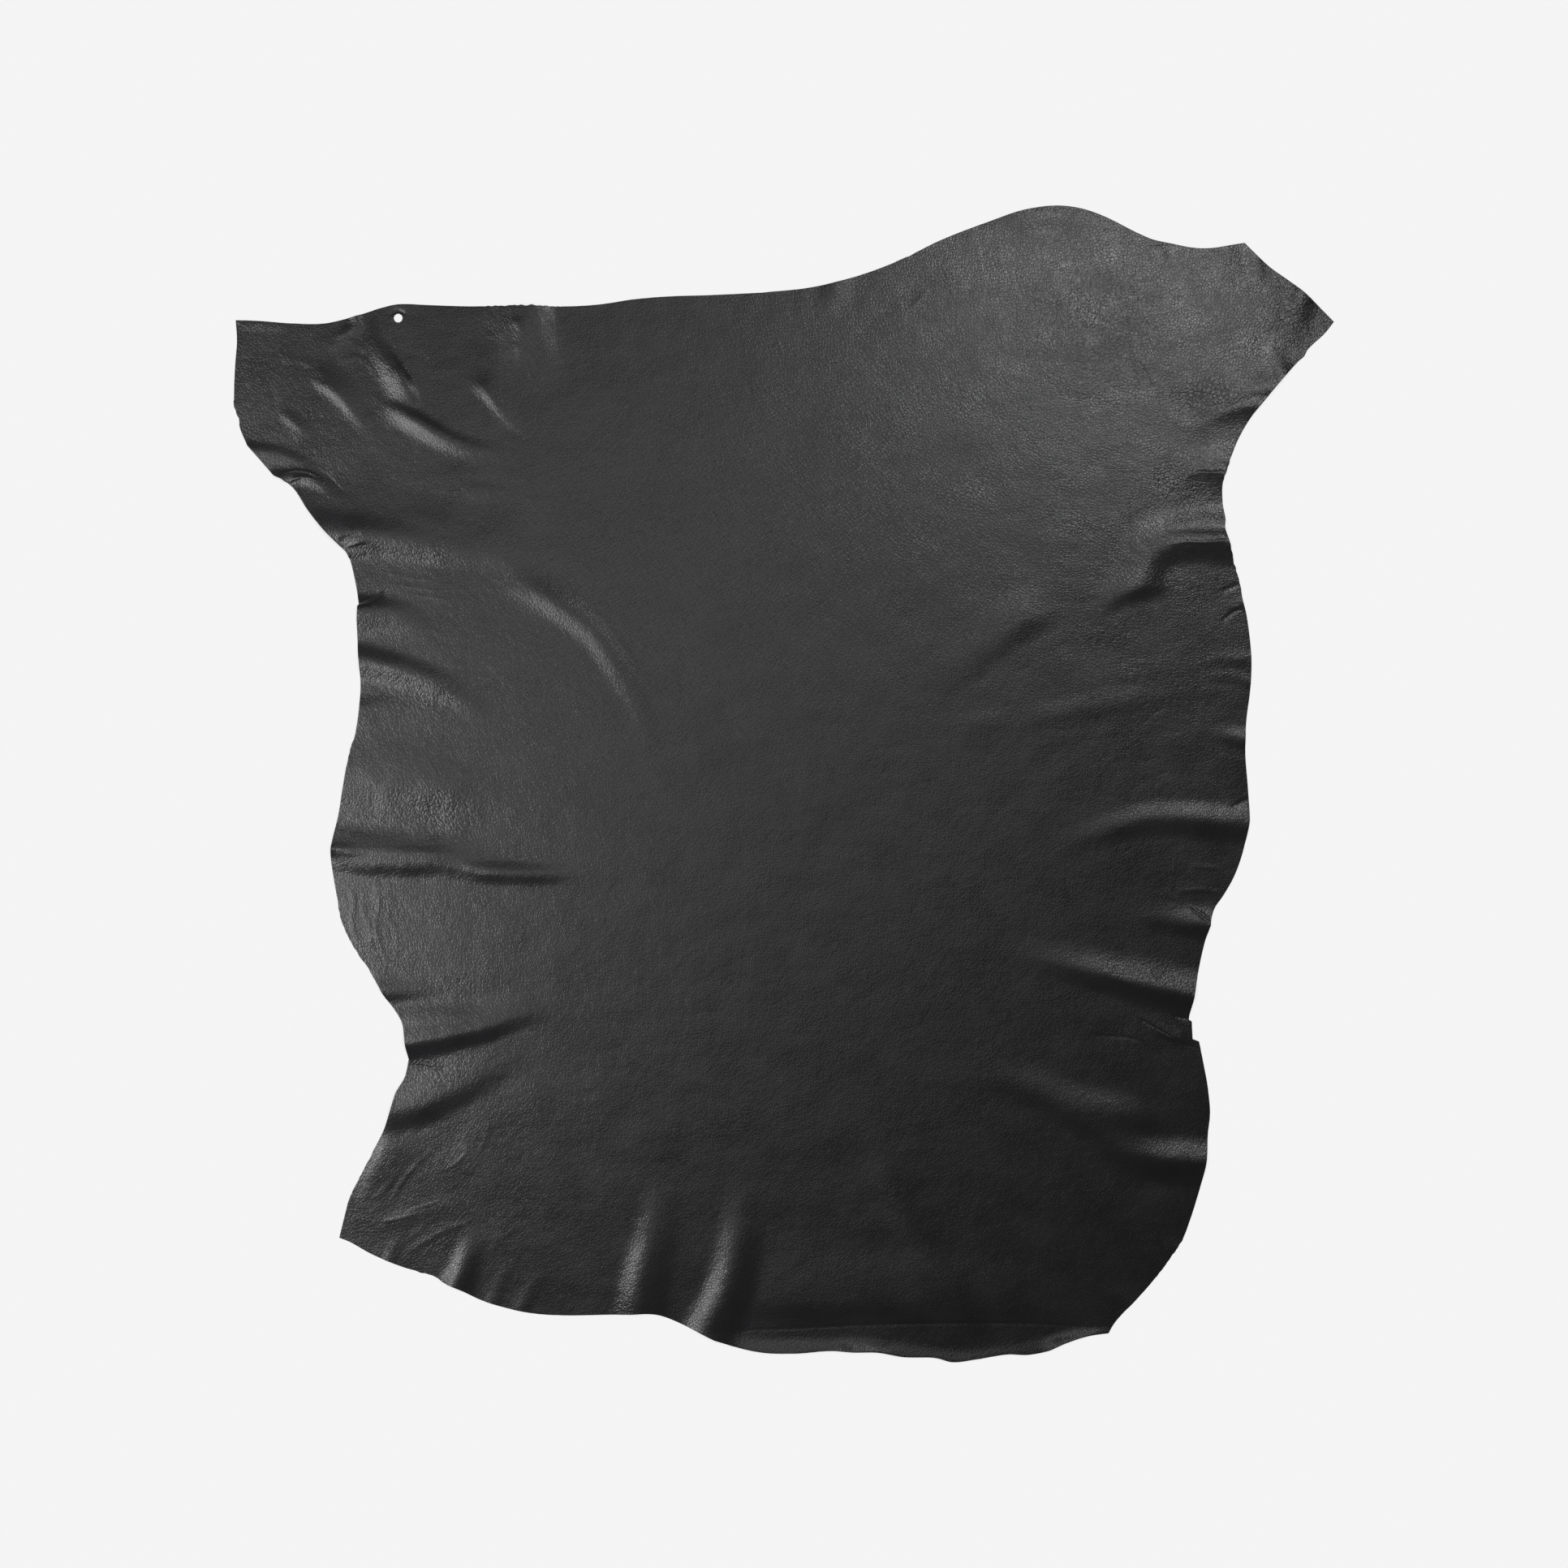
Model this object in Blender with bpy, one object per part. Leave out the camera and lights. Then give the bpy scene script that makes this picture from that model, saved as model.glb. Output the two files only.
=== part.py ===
"""A whole leather hide lying flat, grain side up, with soft folds running in from its edge.

Run with: blender --background --python part.py

Metres, +Z up, +Y from the belly edge to the neck edge. The origin lies on the surface that the hide
rests on, under the middle of its bounding box. The hide is one sheet: its underside lies flat at
zero height across the middle, and rises under each fold.
"""
import math
from collections import namedtuple

import bmesh
import bpy
import numpy as np
from mathutils import Vector
from mathutils.geometry import delaunay_2d_cdt

# Driving dimensions
HIDE_LENGTH = 0.996            # belly edge to neck edge, along Y
THICKNESS = 0.0014             # of the leather
MM = 0.001                     # one millimetre, the unit of the folds' rises

# Spacing of the sheet's points
EDGE_STEP = 0.009              # between the points along the hide's edge
CREST_STEP = 0.0085            # between the places along a fold's crest
ROW_STEP = 2                   # rows of points along a fold take every second one of those places
SLOPE_ROWS = (0.35, 0.7, 1.0)  # where on a slope the rows lie, as shares of its reach
CLOSEST_POINTS = 0.0055        # inside the edge, no two points are nearer than this
FLAT_STEP = 0.036              # between the points where the hide lies flat
FLAT_CLEARANCE = 0.0216        # between one of those points and a fold's points
EDGE_MARGIN = 0.0045           # kept clear of points along the inside of the edge
MERGE_DISTANCE = 1e-7          # points nearer than this are one point
SLOPE_STEP = 0.0005            # over which the steepness of a slope is measured
SHARP_ANGLE = math.radians(45)
TRIANGLE_HEIGHT = math.sqrt(0.75)  # of a triangle with three sides of one

# How every fold runs out
TAPER_START = 0.30             # share of a fold's length where its crest begins to sink
CREST_MARGIN = 0.040           # how far a fold that starts at the edge is carried on past it
NARROWING = 0.35               # share of its slopes' reach that a fold loses towards its inner end

# Colour and finish of the grain side
LEATHER_BLACK = (0.018, 0.018, 0.020, 1.0)
LEATHER_ROUGHNESS = 0.45

# The edge, clockwise from the neck's left corner. Each row is one stretch between two corners: its
# name, and its places (across, down) in drawing units, counted from the top left of a plan of the hide.
EDGE_STRETCHES = (
    ("neck, left half", (
        (291, 395), (320, 396), (360, 399), (401, 399), (442, 389), (470, 380), (491, 375.5),
        (530, 376.5), (580, 378), (640, 377), (700, 378), (740, 375.5), (780, 369.5), (820, 366),
        (880, 364), (940, 361))),
    ("neck, right half", (
        (940, 361), (1000, 354.5), (1060, 339.5), (1110, 320.5), (1160, 296), (1220, 273),
        (1260, 259.5), (1300, 254), (1330, 257), (1360, 267), (1400, 287), (1420, 295.5),
        (1440, 300), (1472, 306), (1495, 306), (1517, 302.5), (1533, 300))),
    ("right fore shank, upper side", (
        (1533, 300), (1549, 316), (1566, 331), (1590, 348), (1611, 365), (1643, 397))),
    ("right fore shank, lower side", (
        (1643, 397), (1632, 411), (1611, 431), (1606, 440), (1600, 445), (1580, 467), (1560, 491),
        (1540, 516), (1525, 542), (1515.5, 565))),
    ("right flank, upper folds", (
        (1515.5, 565), (1510, 582), (1506, 596), (1506, 620), (1509, 640), (1508.5, 651),
        (1513, 664), (1517, 681), (1523, 704), (1526, 714.5))),
    ("right flank, middle", (
        (1526, 714.5), (1528.5, 724), (1530, 736), (1535, 756), (1540, 792), (1541.5, 818),
        (1540, 849), (1535, 890), (1534, 930), (1537, 969), (1539, 1008), (1537.5, 1021),
        (1529, 1056), (1520, 1080), (1507, 1103), (1496, 1119), (1491.5, 1133), (1491, 1140))),
    ("right flank, waist", (
        (1491, 1140), (1484, 1161), (1475.5, 1199), (1470, 1231), (1465, 1251), (1464.5, 1256))),
    ("tab, upper end", ((1464.5, 1256), (1468, 1258.5))),
    ("tab", ((1468, 1258.5), (1469, 1280))),
    ("tab, lower end", ((1469, 1280), (1477, 1283))),
    ("right hind", (
        (1477, 1283), (1482, 1308), (1487.5, 1338), (1490.5, 1372), (1488, 1395), (1485.5, 1430),
        (1480, 1456), (1466.5, 1501), (1456, 1528), (1442, 1549), (1428, 1568.5), (1401, 1599.5),
        (1380, 1621), (1372, 1631), (1365.5, 1642))),
    ("belly, right half", (
        (1365.5, 1642), (1340, 1645.5), (1311, 1654.5), (1290, 1664), (1265, 1668.5), (1241, 1668),
        (1206, 1673.5), (1174, 1677.4), (1152, 1672.3), (1113, 1671), (1081, 1665.5), (1052, 1665),
        (1022, 1663.6), (980, 1666.6), (940, 1665.6), (909, 1659.4), (880, 1650.3))),
    ("belly, left half", (
        (880, 1650.3), (845, 1633), (808, 1619), (769, 1619), (690, 1620), (652, 1617), (613, 1608),
        (590, 1600), (570, 1590), (550, 1581), (535, 1572), (495, 1560), (457, 1544), (432, 1530),
        (418.5, 1524.5))),
    ("left hind shank", (
        (418.5, 1524.5), (426, 1494), (431, 1476), (450, 1438), (464, 1411), (474.5, 1389),
        (484, 1358), (488.5, 1345), (499, 1327), (504, 1305))),
    ("left flank, lower", (
        (504, 1305), (500, 1288), (496, 1260), (486, 1243), (473, 1226), (458, 1199), (438, 1169),
        (422, 1137), (415.5, 1104), (409, 1064), (408.3, 1048), (411, 1031), (417.5, 1003),
        (423, 970), (430, 932), (439, 900), (444, 860), (444.5, 838), (441.5, 800), (440.3, 765),
        (441, 747))),
    ("cut in the left flank", ((441, 747), (443, 745))),
    ("left flank, upper", (
        (443, 745), (437, 711), (430, 686), (421, 675), (401, 655), (380, 629), (363, 603),
        (350, 592), (340, 587.5), (320, 566), (305, 549))),
    ("left fore shank", (
        (305, 549), (296, 527), (294.5, 516), (290, 505), (289, 481), (290.5, 448), (292.5, 420),
        (291, 395))),
)

# The small hole near the neck's left corner: its middle and its two half widths, in drawing units.
HOLE_MIDDLE = (491, 392.5)
HOLE_ACROSS = 5.5
HOLE_DOWN = 5.5
HOLE_SIDES = 10

# The folds' columns: name, rise of the crest in millimetres, reach of its slope to the left and to
# the right of the crest in drawing units, how sharp the crest is (0 round, 1 a crease), whether it
# starts at the hide's edge, and the crest's places (across, down), from the edge inwards.
Fold = namedtuple("Fold", "name rise reach_left reach_right sharpness at_edge places")
FOLD_ROWS = (
    ("left fore shank, outer crease", 1.7, 32, 13, 0.1, False,
     ((374, 461), (405, 477), (424, 494), (442, 517), (468, 547))),
    ("left fore shank, middle crease", 3.6, 36, 16, 0.2, False,
     ((512, 514), (504, 483), (489, 456), (470, 428), (452, 390))),
    ("left fore shank, inner crease", 3.4, 15, 25, 0.1, False,
     ((462, 497), (503, 512), (536, 532), (568, 547), (632, 562))),
    ("left fore shank, small crease", 1.0, 12, 10, 0.1, False,
     ((344, 506), (362, 520), (386, 546))),
    ("left shoulder wrinkle", 1.8, 26, 15, 0.2, False,
     ((574, 463), (598, 480), (614, 500), (630, 519), (668, 542))),
    ("left shoulder dimple", 0.5, 16, 18, 0.0, False,
     ((560, 604), (600, 606), (644, 607))),
    ("left neck wrinkle", 0.7, 16, 14, 0.0, False,
     ((634, 386), (644, 412), (640, 430), (652, 456))),
    ("left neck pucker", 2.6, 12, 12, 0.3, True,
     ((439, 390), (441, 402), (425, 412), (398, 422))),
    ("left armpit fold, upper", 1.5, 10, 40, 0.3, True,
     ((303, 553), (345, 558), (372, 569), (395, 588), (420, 618))),
    ("left armpit fold, lower", 2.4, 16, 12, 0.3, True,
     ((343, 590), (372, 589), (394, 597), (410, 612), (426, 634))),
    ("left shoulder roll", 2.4, 34, 40, 0.0, True,
     ((402, 654), (440, 658), (480, 663), (520, 672), (570, 690))),
    ("left shoulder roll, long back", 3.0, 80, 34, 0.0, True,
     ((402, 656), (480, 663), (560, 677), (620, 686), (664, 704), (710, 742))),
    ("left shoulder roll, lower lip", 1.8, 12, 12, 0.3, True,
     ((426, 684), (450, 681), (476, 683))),
    ("left rib fold", 3.0, 30, 30, 0.1, False,
     ((600, 700), (652, 724), (697, 750), (737, 784), (766, 830), (786, 870), (800, 905),
      (810, 940))),
    ("left rib fold, outer", 0.7, 30, 28, 0.0, False,
     ((720, 738), (790, 787), (850, 836), (905, 874))),
    ("left flank swell", 3.7, 26, 40, 0.0, True,
     ((439, 753), (480, 754), (510, 764), (538, 794))),
    ("left flank roll", 3.8, 25, 32, 0.2, True,
     ((440, 812), (470, 818), (510, 829), (550, 849), (585, 874), (612, 910))),
    ("left flank, low swell", 1.4, 22, 70, 0.1, True,
     ((443, 873), (480, 870), (520, 872))),
    ("left belly swell", 2.2, 75, 50, 0.0, True,
     ((420, 958), (480, 959), (540, 968), (600, 984), (660, 1010))),
    ("left belly roll", 3.0, 36, 18, 0.3, True,
     ((409, 1043), (450, 1046), (500, 1049), (560, 1051), (610, 1058), (655, 1068))),
    ("left belly roll, lip", 1.8, 6, 12, 0.5, True,
     ((407, 1045), (432, 1048), (462, 1059))),
    ("left belly crease", 3.1, 26, 24, 0.2, False,
     ((340, 1046), (415, 1056), (450, 1062), (500, 1063), (545, 1063), (600, 1074), (650, 1077),
      (700, 1077), (760, 1080))),
    ("left belly crease, inner part", 1.7, 20, 20, 0.1, False,
     ((560, 1068), (610, 1074), (650, 1076), (700, 1077), (740, 1080))),
    ("left thigh pucker", 2.4, 34, 18, 0.3, True,
     ((468, 1223), (500, 1222), (550, 1219))),
    ("left thigh fold, upper", 0.8, 26, 16, 0.1, True,
     ((494, 1252), (550, 1250), (600, 1246), (640, 1238))),
    ("left thigh fold, main", 5.2, 56, 26, 0.3, True,
     ((498, 1286), (550, 1277), (600, 1266), (640, 1252), (700, 1242))),
    ("left hind shank fold", 3.1, 60, 34, 0.1, True,
     ((481, 1370), (510, 1364), (545, 1350), (580, 1332), (620, 1310), (665, 1290))),
    ("left hind shank swell", 0.35, 45, 26, 0.0, False,
     ((606, 1352), (590, 1385), (572, 1415), (535, 1448), (490, 1466))),
    ("left hind shank crease", 0.35, 14, 20, 0.2, False,
     ((452, 1510), (515, 1496), (560, 1479), (600, 1462))),
    ("left hind shank, curled edge", 1.4, 64, 18, 0.0, False,
     ((496, 1372), (474, 1414), (458, 1452), (446, 1488), (436, 1522))),
    ("left hind shank pucker", 1.2, 14, 18, 0.2, True,
     ((478, 1555), (485, 1535), (498, 1508))),
    ("belly pucker, first", 4.2, 25, 36, 0.2, True,
     ((559, 1585), (570, 1559), (579, 1534), (592, 1506))),
    ("belly pucker, second", 0.8, 14, 16, 0.1, True,
     ((605, 1606), (618, 1576), (642, 1538))),
    ("belly pucker, third", 0.9, 18, 18, 0.1, True,
     ((641, 1616), (655, 1586), (674, 1556))),
    ("belly fold, left", 4.3, 36, 50, 0.1, True,
     ((785, 1620), (789, 1580), (799, 1540), (807, 1500), (818, 1440))),
    ("belly fold, right", 5.0, 38, 50, 0.1, True,
     ((868, 1644), (888, 1605), (902, 1560), (908, 1520), (914, 1480), (920, 1430))),
    ("belly roll", 2.4, 95, 42, 0.0, False,
     ((860, 1596), (960, 1600), (1040, 1603), (1120, 1604), (1200, 1606), (1290, 1604),
      (1365, 1600))),
    ("belly edge, upturned lip", 3.8, 30, 30, 0.0, False,
     ((730, 1670), (860, 1664), (940, 1672), (1000, 1672), (1060, 1672), (1110, 1676),
      (1176, 1684), (1240, 1676), (1300, 1666), (1372, 1655), (1460, 1655), (1560, 1655))),
    ("belly edge, lip at the middle", 3.0, 26, 24, 0.0, False,
     ((1024, 1672), (1068, 1674), (1112, 1678))),
    ("belly edge, lip at the right", 4.2, 22, 24, 0.0, False,
     ((1280, 1669), (1326, 1655), (1356, 1650), (1396, 1643))),
    ("belly swell", 1.9, 40, 36, 0.0, False,
     ((1215, 1670), (1180, 1600), (1136, 1545), (1105, 1490), (1080, 1420), (1060, 1360))),
    ("right hind pucker, upper", 1.2, 18, 18, 0.1, True,
     ((1450, 1538), (1434, 1530), (1412, 1524))),
    ("right hind pucker, lower", 1.0, 16, 16, 0.1, True,
     ((1394, 1606), (1380, 1594), (1362, 1584))),
    ("right thigh fold, lower", 6.0, 38, 38, 0.3, True,
     ((1488, 1432), (1440, 1428), (1402, 1420), (1368, 1404), (1330, 1378), (1285, 1348))),
    ("right thigh fold, upper", 3.6, 42, 40, 0.1, False,
     ((1450, 1392), (1390, 1379), (1342, 1367), (1300, 1351), (1250, 1332), (1180, 1306))),
    ("right waist fold", 5.9, 32, 44, 0.5, True,
     ((1471, 1228), (1430, 1219), (1395, 1210), (1360, 1201), (1320, 1191), (1280, 1180),
      (1230, 1165))),
    ("right waist cut, lapped edge", 1.8, 4, 24, 0.8, False,
     ((1472, 1291), (1440, 1276), (1420, 1266), (1400, 1252))),
    ("right flank pucker", 3.8, 24, 32, 0.2, True,
     ((1492, 1140), (1460, 1136), (1430, 1130), (1392, 1128))),
    ("right rib fold", 3.1, 30, 32, 0.2, True,
     ((1541, 1016), (1500, 1013), (1460, 1009), (1420, 1009), (1390, 1014), (1360, 1024),
      (1325, 1036), (1280, 1050))),
    ("right rib pucker", 2.6, 20, 20, 0.2, True,
     ((1537, 911), (1510, 906), (1476, 900))),
    ("right rib, long swell", 0.6, 27, 27, 0.0, False,
     ((1480, 851), (1400, 861), (1340, 872), (1280, 884), (1200, 893), (1120, 898))),
    ("right flank wrinkle, upper", 1.0, 12, 16, 0.2, True,
     ((1534, 742), (1518, 750), (1502, 763))),
    ("right flank wrinkle, middle", 0.6, 14, 16, 0.0, True,
     ((1541, 812), (1505, 812), (1462, 818))),
    ("right flank wrinkle, lower", 0.7, 10, 16, 0.1, True,
     ((1541, 842), (1515, 834), (1488, 834), (1462, 844))),
    ("right shoulder valley side", 1.2, 34, 60, 0.0, False,
     ((1312, 736), (1262, 764), (1222, 794), (1182, 826), (1130, 862))),
    ("right shoulder fold, lower", 1.9, 22, 38, 0.2, False,
     ((1448, 720), (1420, 721), (1400, 725), (1382, 732), (1364, 745), (1345, 772))),
    ("right shoulder roll", 3.6, 36, 60, 0.1, True,
     ((1514, 668), (1470, 667), (1440, 672), (1418, 686), (1403, 712), (1396, 745), (1391, 785))),
    ("right shoulder roll, upper crease", 1.4, 12, 36, 0.3, True,
     ((1509, 651), (1460, 651), (1430, 655), (1412, 670), (1402, 694))),
    ("right shoulder roll, lower crease", 0.8, 16, 8, 0.4, True,
     ((1514, 668), (1470, 669), (1440, 674), (1420, 688))),
    ("right armpit roll", 2.1, 32, 50, 0.1, True,
     ((1510, 583), (1480, 583), (1455, 590), (1428, 606))),
    ("right armpit roll, upper crease", 1.0, 11, 30, 0.3, True,
     ((1513, 568), (1490, 567), (1462, 575))),
    ("right armpit roll, lower crease", 0.9, 14, 8, 0.4, True,
     ((1508, 584), (1480, 584), (1455, 591), (1434, 607))),
    ("right fore shank roll", 1.9, 36, 52, 0.1, True,
     ((1560, 490), (1530, 497), (1498, 508), (1468, 521), (1436, 538))),
    ("right fore shank roll, upper crease", 1.3, 16, 40, 0.3, True,
     ((1569, 478), (1540, 482), (1512, 492), (1492, 505))),
    ("right fore shank roll, lower crease", 1.0, 16, 8, 0.4, True,
     ((1555, 498), (1525, 502), (1500, 511), (1470, 523))),
    ("right fore shank wrinkle, inner", 1.3, 44, 30, 0.0, True,
     ((1510, 303), (1506, 330), (1510, 362))),
    ("right fore shank wrinkle, middle", 1.4, 13, 24, 0.3, True,
     ((1549, 317), (1553, 340), (1546, 366))),
    ("right fore shank wrinkle, outer", 2.6, 32, 26, 0.1, True,
     ((1606, 361), (1598, 385), (1586, 424))),
    ("right fore shank wrinkle, low", 1.5, 18, 24, 0.1, True,
     ((1582, 465), (1568, 436), (1566, 400))),
    ("neck pucker, left", 4.0, 36, 90, 0.0, True,
     ((657, 377), (660, 404), (670, 440), (690, 486))),
    ("neck pucker, middle", 1.5, 28, 28, 0.1, True,
     ((1031, 347), (1022, 374), (1000, 402))),
    ("neck, upturned edge", 0.9, 30, 24, 0.0, False,
     ((1200, 278), (1260, 268), (1300, 266), (1345, 271), (1410, 294))),
)
FOLDS = [Fold(*row) for row in FOLD_ROWS]


def read_plan():
    """Scale of the plan and the middle of the hide on it, so that its length comes out as stated."""
    rows = [place[1] for _, places in EDGE_STRETCHES for place in places]
    columns = [place[0] for _, places in EDGE_STRETCHES for place in places]
    unit = HIDE_LENGTH / (max(rows) - min(rows))
    middle = ((min(columns) + max(columns)) / 2, (min(rows) + max(rows)) / 2)
    return unit, middle


UNIT, PLAN_MIDDLE = read_plan()


def on_plan(places):
    """Places on the plan (across, down) as an array of x, y in metres."""
    across, down = np.array(places, dtype=float).T
    return np.column_stack(((across - PLAN_MIDDLE[0]) * UNIT, (PLAN_MIDDLE[1] - down) * UNIT))


def smooth_path(points, step):
    """A smooth curve through the points, sampled about every step: a centripetal Catmull-Rom spline."""
    before = 2 * points[0] - points[1]
    after = 2 * points[-1] - points[-2]
    knots = np.vstack((before, points, after))
    samples = [points[0]]
    for i in range(1, len(knots) - 2):
        p0, p1, p2, p3 = knots[i - 1:i + 3]
        t1 = math.sqrt(np.linalg.norm(p1 - p0))
        t2 = t1 + math.sqrt(np.linalg.norm(p2 - p1))
        t3 = t2 + math.sqrt(np.linalg.norm(p3 - p2))
        count = max(1, round(float(np.linalg.norm(p2 - p1)) / step))
        for j in range(1, count + 1):
            t = t1 + (t2 - t1) * j / count
            a1 = p0 + (p1 - p0) * t / t1
            a2 = p1 + (p2 - p1) * (t - t1) / (t2 - t1)
            a3 = p2 + (p3 - p2) * (t - t2) / (t3 - t2)
            b1 = a1 + (a2 - a1) * t / t2
            b2 = a2 + (a3 - a2) * (t - t1) / (t3 - t1)
            samples.append(b1 + (b2 - b1) * (t - t1) / (t2 - t1))
    return np.array(samples)


def edge_loop():
    """The hide's edge as one closed loop of points, clockwise, its corners kept."""
    stretches = [smooth_path(on_plan(places), EDGE_STEP)[:-1] for _, places in EDGE_STRETCHES]
    return np.vstack(stretches)


def hole_loop():
    """The rim of the small hole."""
    middle = on_plan([HOLE_MIDDLE])[0]
    angles = 2 * math.pi * np.arange(HOLE_SIDES) / HOLE_SIDES
    return middle + UNIT * np.column_stack((HOLE_ACROSS * np.cos(angles), HOLE_DOWN * np.sin(angles)))


def nearest_on_path(points, path):
    """For each point: its distance from the path, the share of the path's length at the nearest
    place, and whether it lies to the left of the path there."""
    lengths = np.linalg.norm(np.diff(path, axis=0), axis=1)
    reached = np.concatenate(([0.0], np.cumsum(lengths)))
    best = np.full(len(points), np.inf)
    share = np.zeros(len(points))
    left = np.zeros(len(points), dtype=bool)
    for i, length in enumerate(lengths):
        along = (path[i + 1] - path[i]) / length
        offset = points - path[i]
        t = np.clip(offset @ along, 0.0, length)
        apart = offset - t[:, None] * along
        distance = np.hypot(apart[:, 0], apart[:, 1])
        nearer = distance < best
        best = np.where(nearer, distance, best)
        share = np.where(nearer, (reached[i] + t) / reached[-1], share)
        side = along[0] * offset[:, 1] - along[1] * offset[:, 0] > 0
        left = np.where(nearer, side, left)
    return best, share, left


def crest_path(fold):
    """The fold's crest in metres. One that starts at the edge is carried on past it."""
    points = on_plan(fold.places)
    if fold.at_edge:
        outward = points[0] - points[1]
        beyond = points[0] + outward / np.linalg.norm(outward) * CREST_MARGIN
        points = np.vstack((beyond, points))
    return smooth_path(points, CREST_STEP)


def crest_rise(share, at_edge):
    """How much of its rise a crest has along its length, sinking to nothing at its inner end."""
    sinking = np.clip((share - TAPER_START) / (1 - TAPER_START), 0, 1)
    rise = 0.5 + 0.5 * np.cos(math.pi * sinking)
    if not at_edge:
        growing = np.clip(share / TAPER_START, 0, 1)
        rise = rise * (0.5 - 0.5 * np.cos(math.pi * growing))
    return rise


def slope_profile(share_of_reach, sharpness):
    """Height across a fold, from 1 at the crest to 0 at the foot of its slope."""
    u = np.clip(share_of_reach, 0, 1)
    rounded = 0.5 + 0.5 * np.cos(math.pi * u)
    creased = (1 - u) ** 2
    return (1 - sharpness) * rounded + sharpness * creased


def lift(points):
    """Height of the hide's underside over the surface, the folds' rises added up."""
    height = np.zeros(len(points))
    for fold in FOLDS:
        path = crest_path(fold)
        widest = max(fold.reach_left, fold.reach_right) * UNIT
        low = path.min(axis=0) - widest
        high = path.max(axis=0) + widest
        near = np.all((points > low) & (points < high), axis=1)
        distance, share, left = nearest_on_path(points[near], path)
        reach = np.where(left, fold.reach_left, fold.reach_right) * UNIT * (1 - NARROWING * share)
        profile = slope_profile(distance / reach, fold.sharpness)
        height[near] += fold.rise * MM * crest_rise(share, fold.at_edge) * profile
    return height


def inside(points, loop):
    """Which points lie inside the closed loop."""
    found = np.zeros(len(points), dtype=bool)
    for (x1, y1), (x2, y2) in zip(loop, np.roll(loop, -1, axis=0)):
        if y1 == y2:
            continue
        spans = (y1 > points[:, 1]) != (y2 > points[:, 1])
        crossing = x1 + (points[:, 1] - y1) * (x2 - x1) / (y2 - y1)
        found ^= spans & (points[:, 0] < crossing)
    return found


def rows_along_fold(fold):
    """Points in rows along a fold: its crest, its slopes and their feet."""
    path = crest_path(fold)[::ROW_STEP]
    along = np.gradient(path, axis=0)
    along /= np.linalg.norm(along, axis=1)[:, None]
    across = np.column_stack((-along[:, 1], along[:, 0]))
    rows = [path]
    for signed_reach in (fold.reach_left * UNIT, -fold.reach_right * UNIT):
        rows += [path + share * signed_reach * across for share in SLOPE_ROWS]
    return rows


def thin_out(candidates, kept, spacing):
    """Adds to the kept points each candidate that is no nearer than spacing to any of them."""
    cells = {}
    for point in kept:
        cells.setdefault((point[0] // spacing, point[1] // spacing), []).append(point)
    for point in candidates:
        column = point[0] // spacing
        row = point[1] // spacing
        block = [(column + i, row + j) for i in (-1, 0, 1) for j in (-1, 0, 1)]
        near = [other for cell in block for other in cells.get(cell, ())]
        if all(math.hypot(*(point - other)) >= spacing for other in near):
            kept.append(point)
            cells.setdefault((column, row), []).append(point)


def inner_points(edge, hole):
    """Points inside the edge: close along the folds, far apart where the hide lies flat."""
    def usable(points):
        clear_of_edge = nearest_on_path(points, np.vstack((edge, edge[:1])))[0] > EDGE_MARGIN
        clear_of_hole = nearest_on_path(points, np.vstack((hole, hole[:1])))[0] > EDGE_MARGIN
        return points[inside(points, edge) & ~inside(points, hole) & clear_of_edge & clear_of_hole]

    kept = []
    for same_row_of_each in zip(*(rows_along_fold(fold) for fold in FOLDS)):
        thin_out(usable(np.vstack(same_row_of_each)), kept, CLOSEST_POINTS)
    low = edge.min(axis=0)
    high = edge.max(axis=0)
    grid = []
    row_step = FLAT_STEP * TRIANGLE_HEIGHT
    for j in range(int((high[1] - low[1]) / row_step) + 1):
        start = low[0] + (j % 2) * FLAT_STEP / 2
        for i in range(int((high[0] - low[0]) / FLAT_STEP) + 1):
            grid.append((start + i * FLAT_STEP, low[1] + j * row_step))
    thin_out(usable(np.array(grid)), kept, FLAT_CLEARANCE)
    return np.array(kept)


def triangulate(edge, hole, inner):
    """The hide's plan as points and triangles, wound the same way round."""
    points = np.vstack((edge, hole, inner))
    loops = []
    for first, count in ((0, len(edge)), (len(edge), len(hole))):
        loops += [(first + i, first + (i + 1) % count) for i in range(count)]
    flat = [Vector(point) for point in points.tolist()]
    corners, _, triangles, _, _, _ = delaunay_2d_cdt(flat, loops, [], 0, MERGE_DISTANCE)
    corners = np.array([tuple(corner) for corner in corners])
    triangles = np.array([tuple(triangle) for triangle in triangles])
    middles = corners[triangles].mean(axis=1)
    triangles = triangles[inside(middles, edge) & ~inside(middles, hole)]
    a, b, c = (corners[triangles[:, k]] for k in range(3))
    turn = (b[:, 0] - a[:, 0]) * (c[:, 1] - a[:, 1]) - (b[:, 1] - a[:, 1]) * (c[:, 0] - a[:, 0])
    triangles[turn < 0] = triangles[turn < 0][:, ::-1]
    return corners, triangles


def steepness(points):
    """Length of the slope for each unit of plan, which keeps the leather's thickness on a slope."""
    slopes = []
    for step in ((SLOPE_STEP, 0), (0, SLOPE_STEP)):
        slopes.append((lift(points + step) - lift(points - step)) / (2 * SLOPE_STEP))
    return np.sqrt(1 + slopes[0] ** 2 + slopes[1] ** 2)


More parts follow.
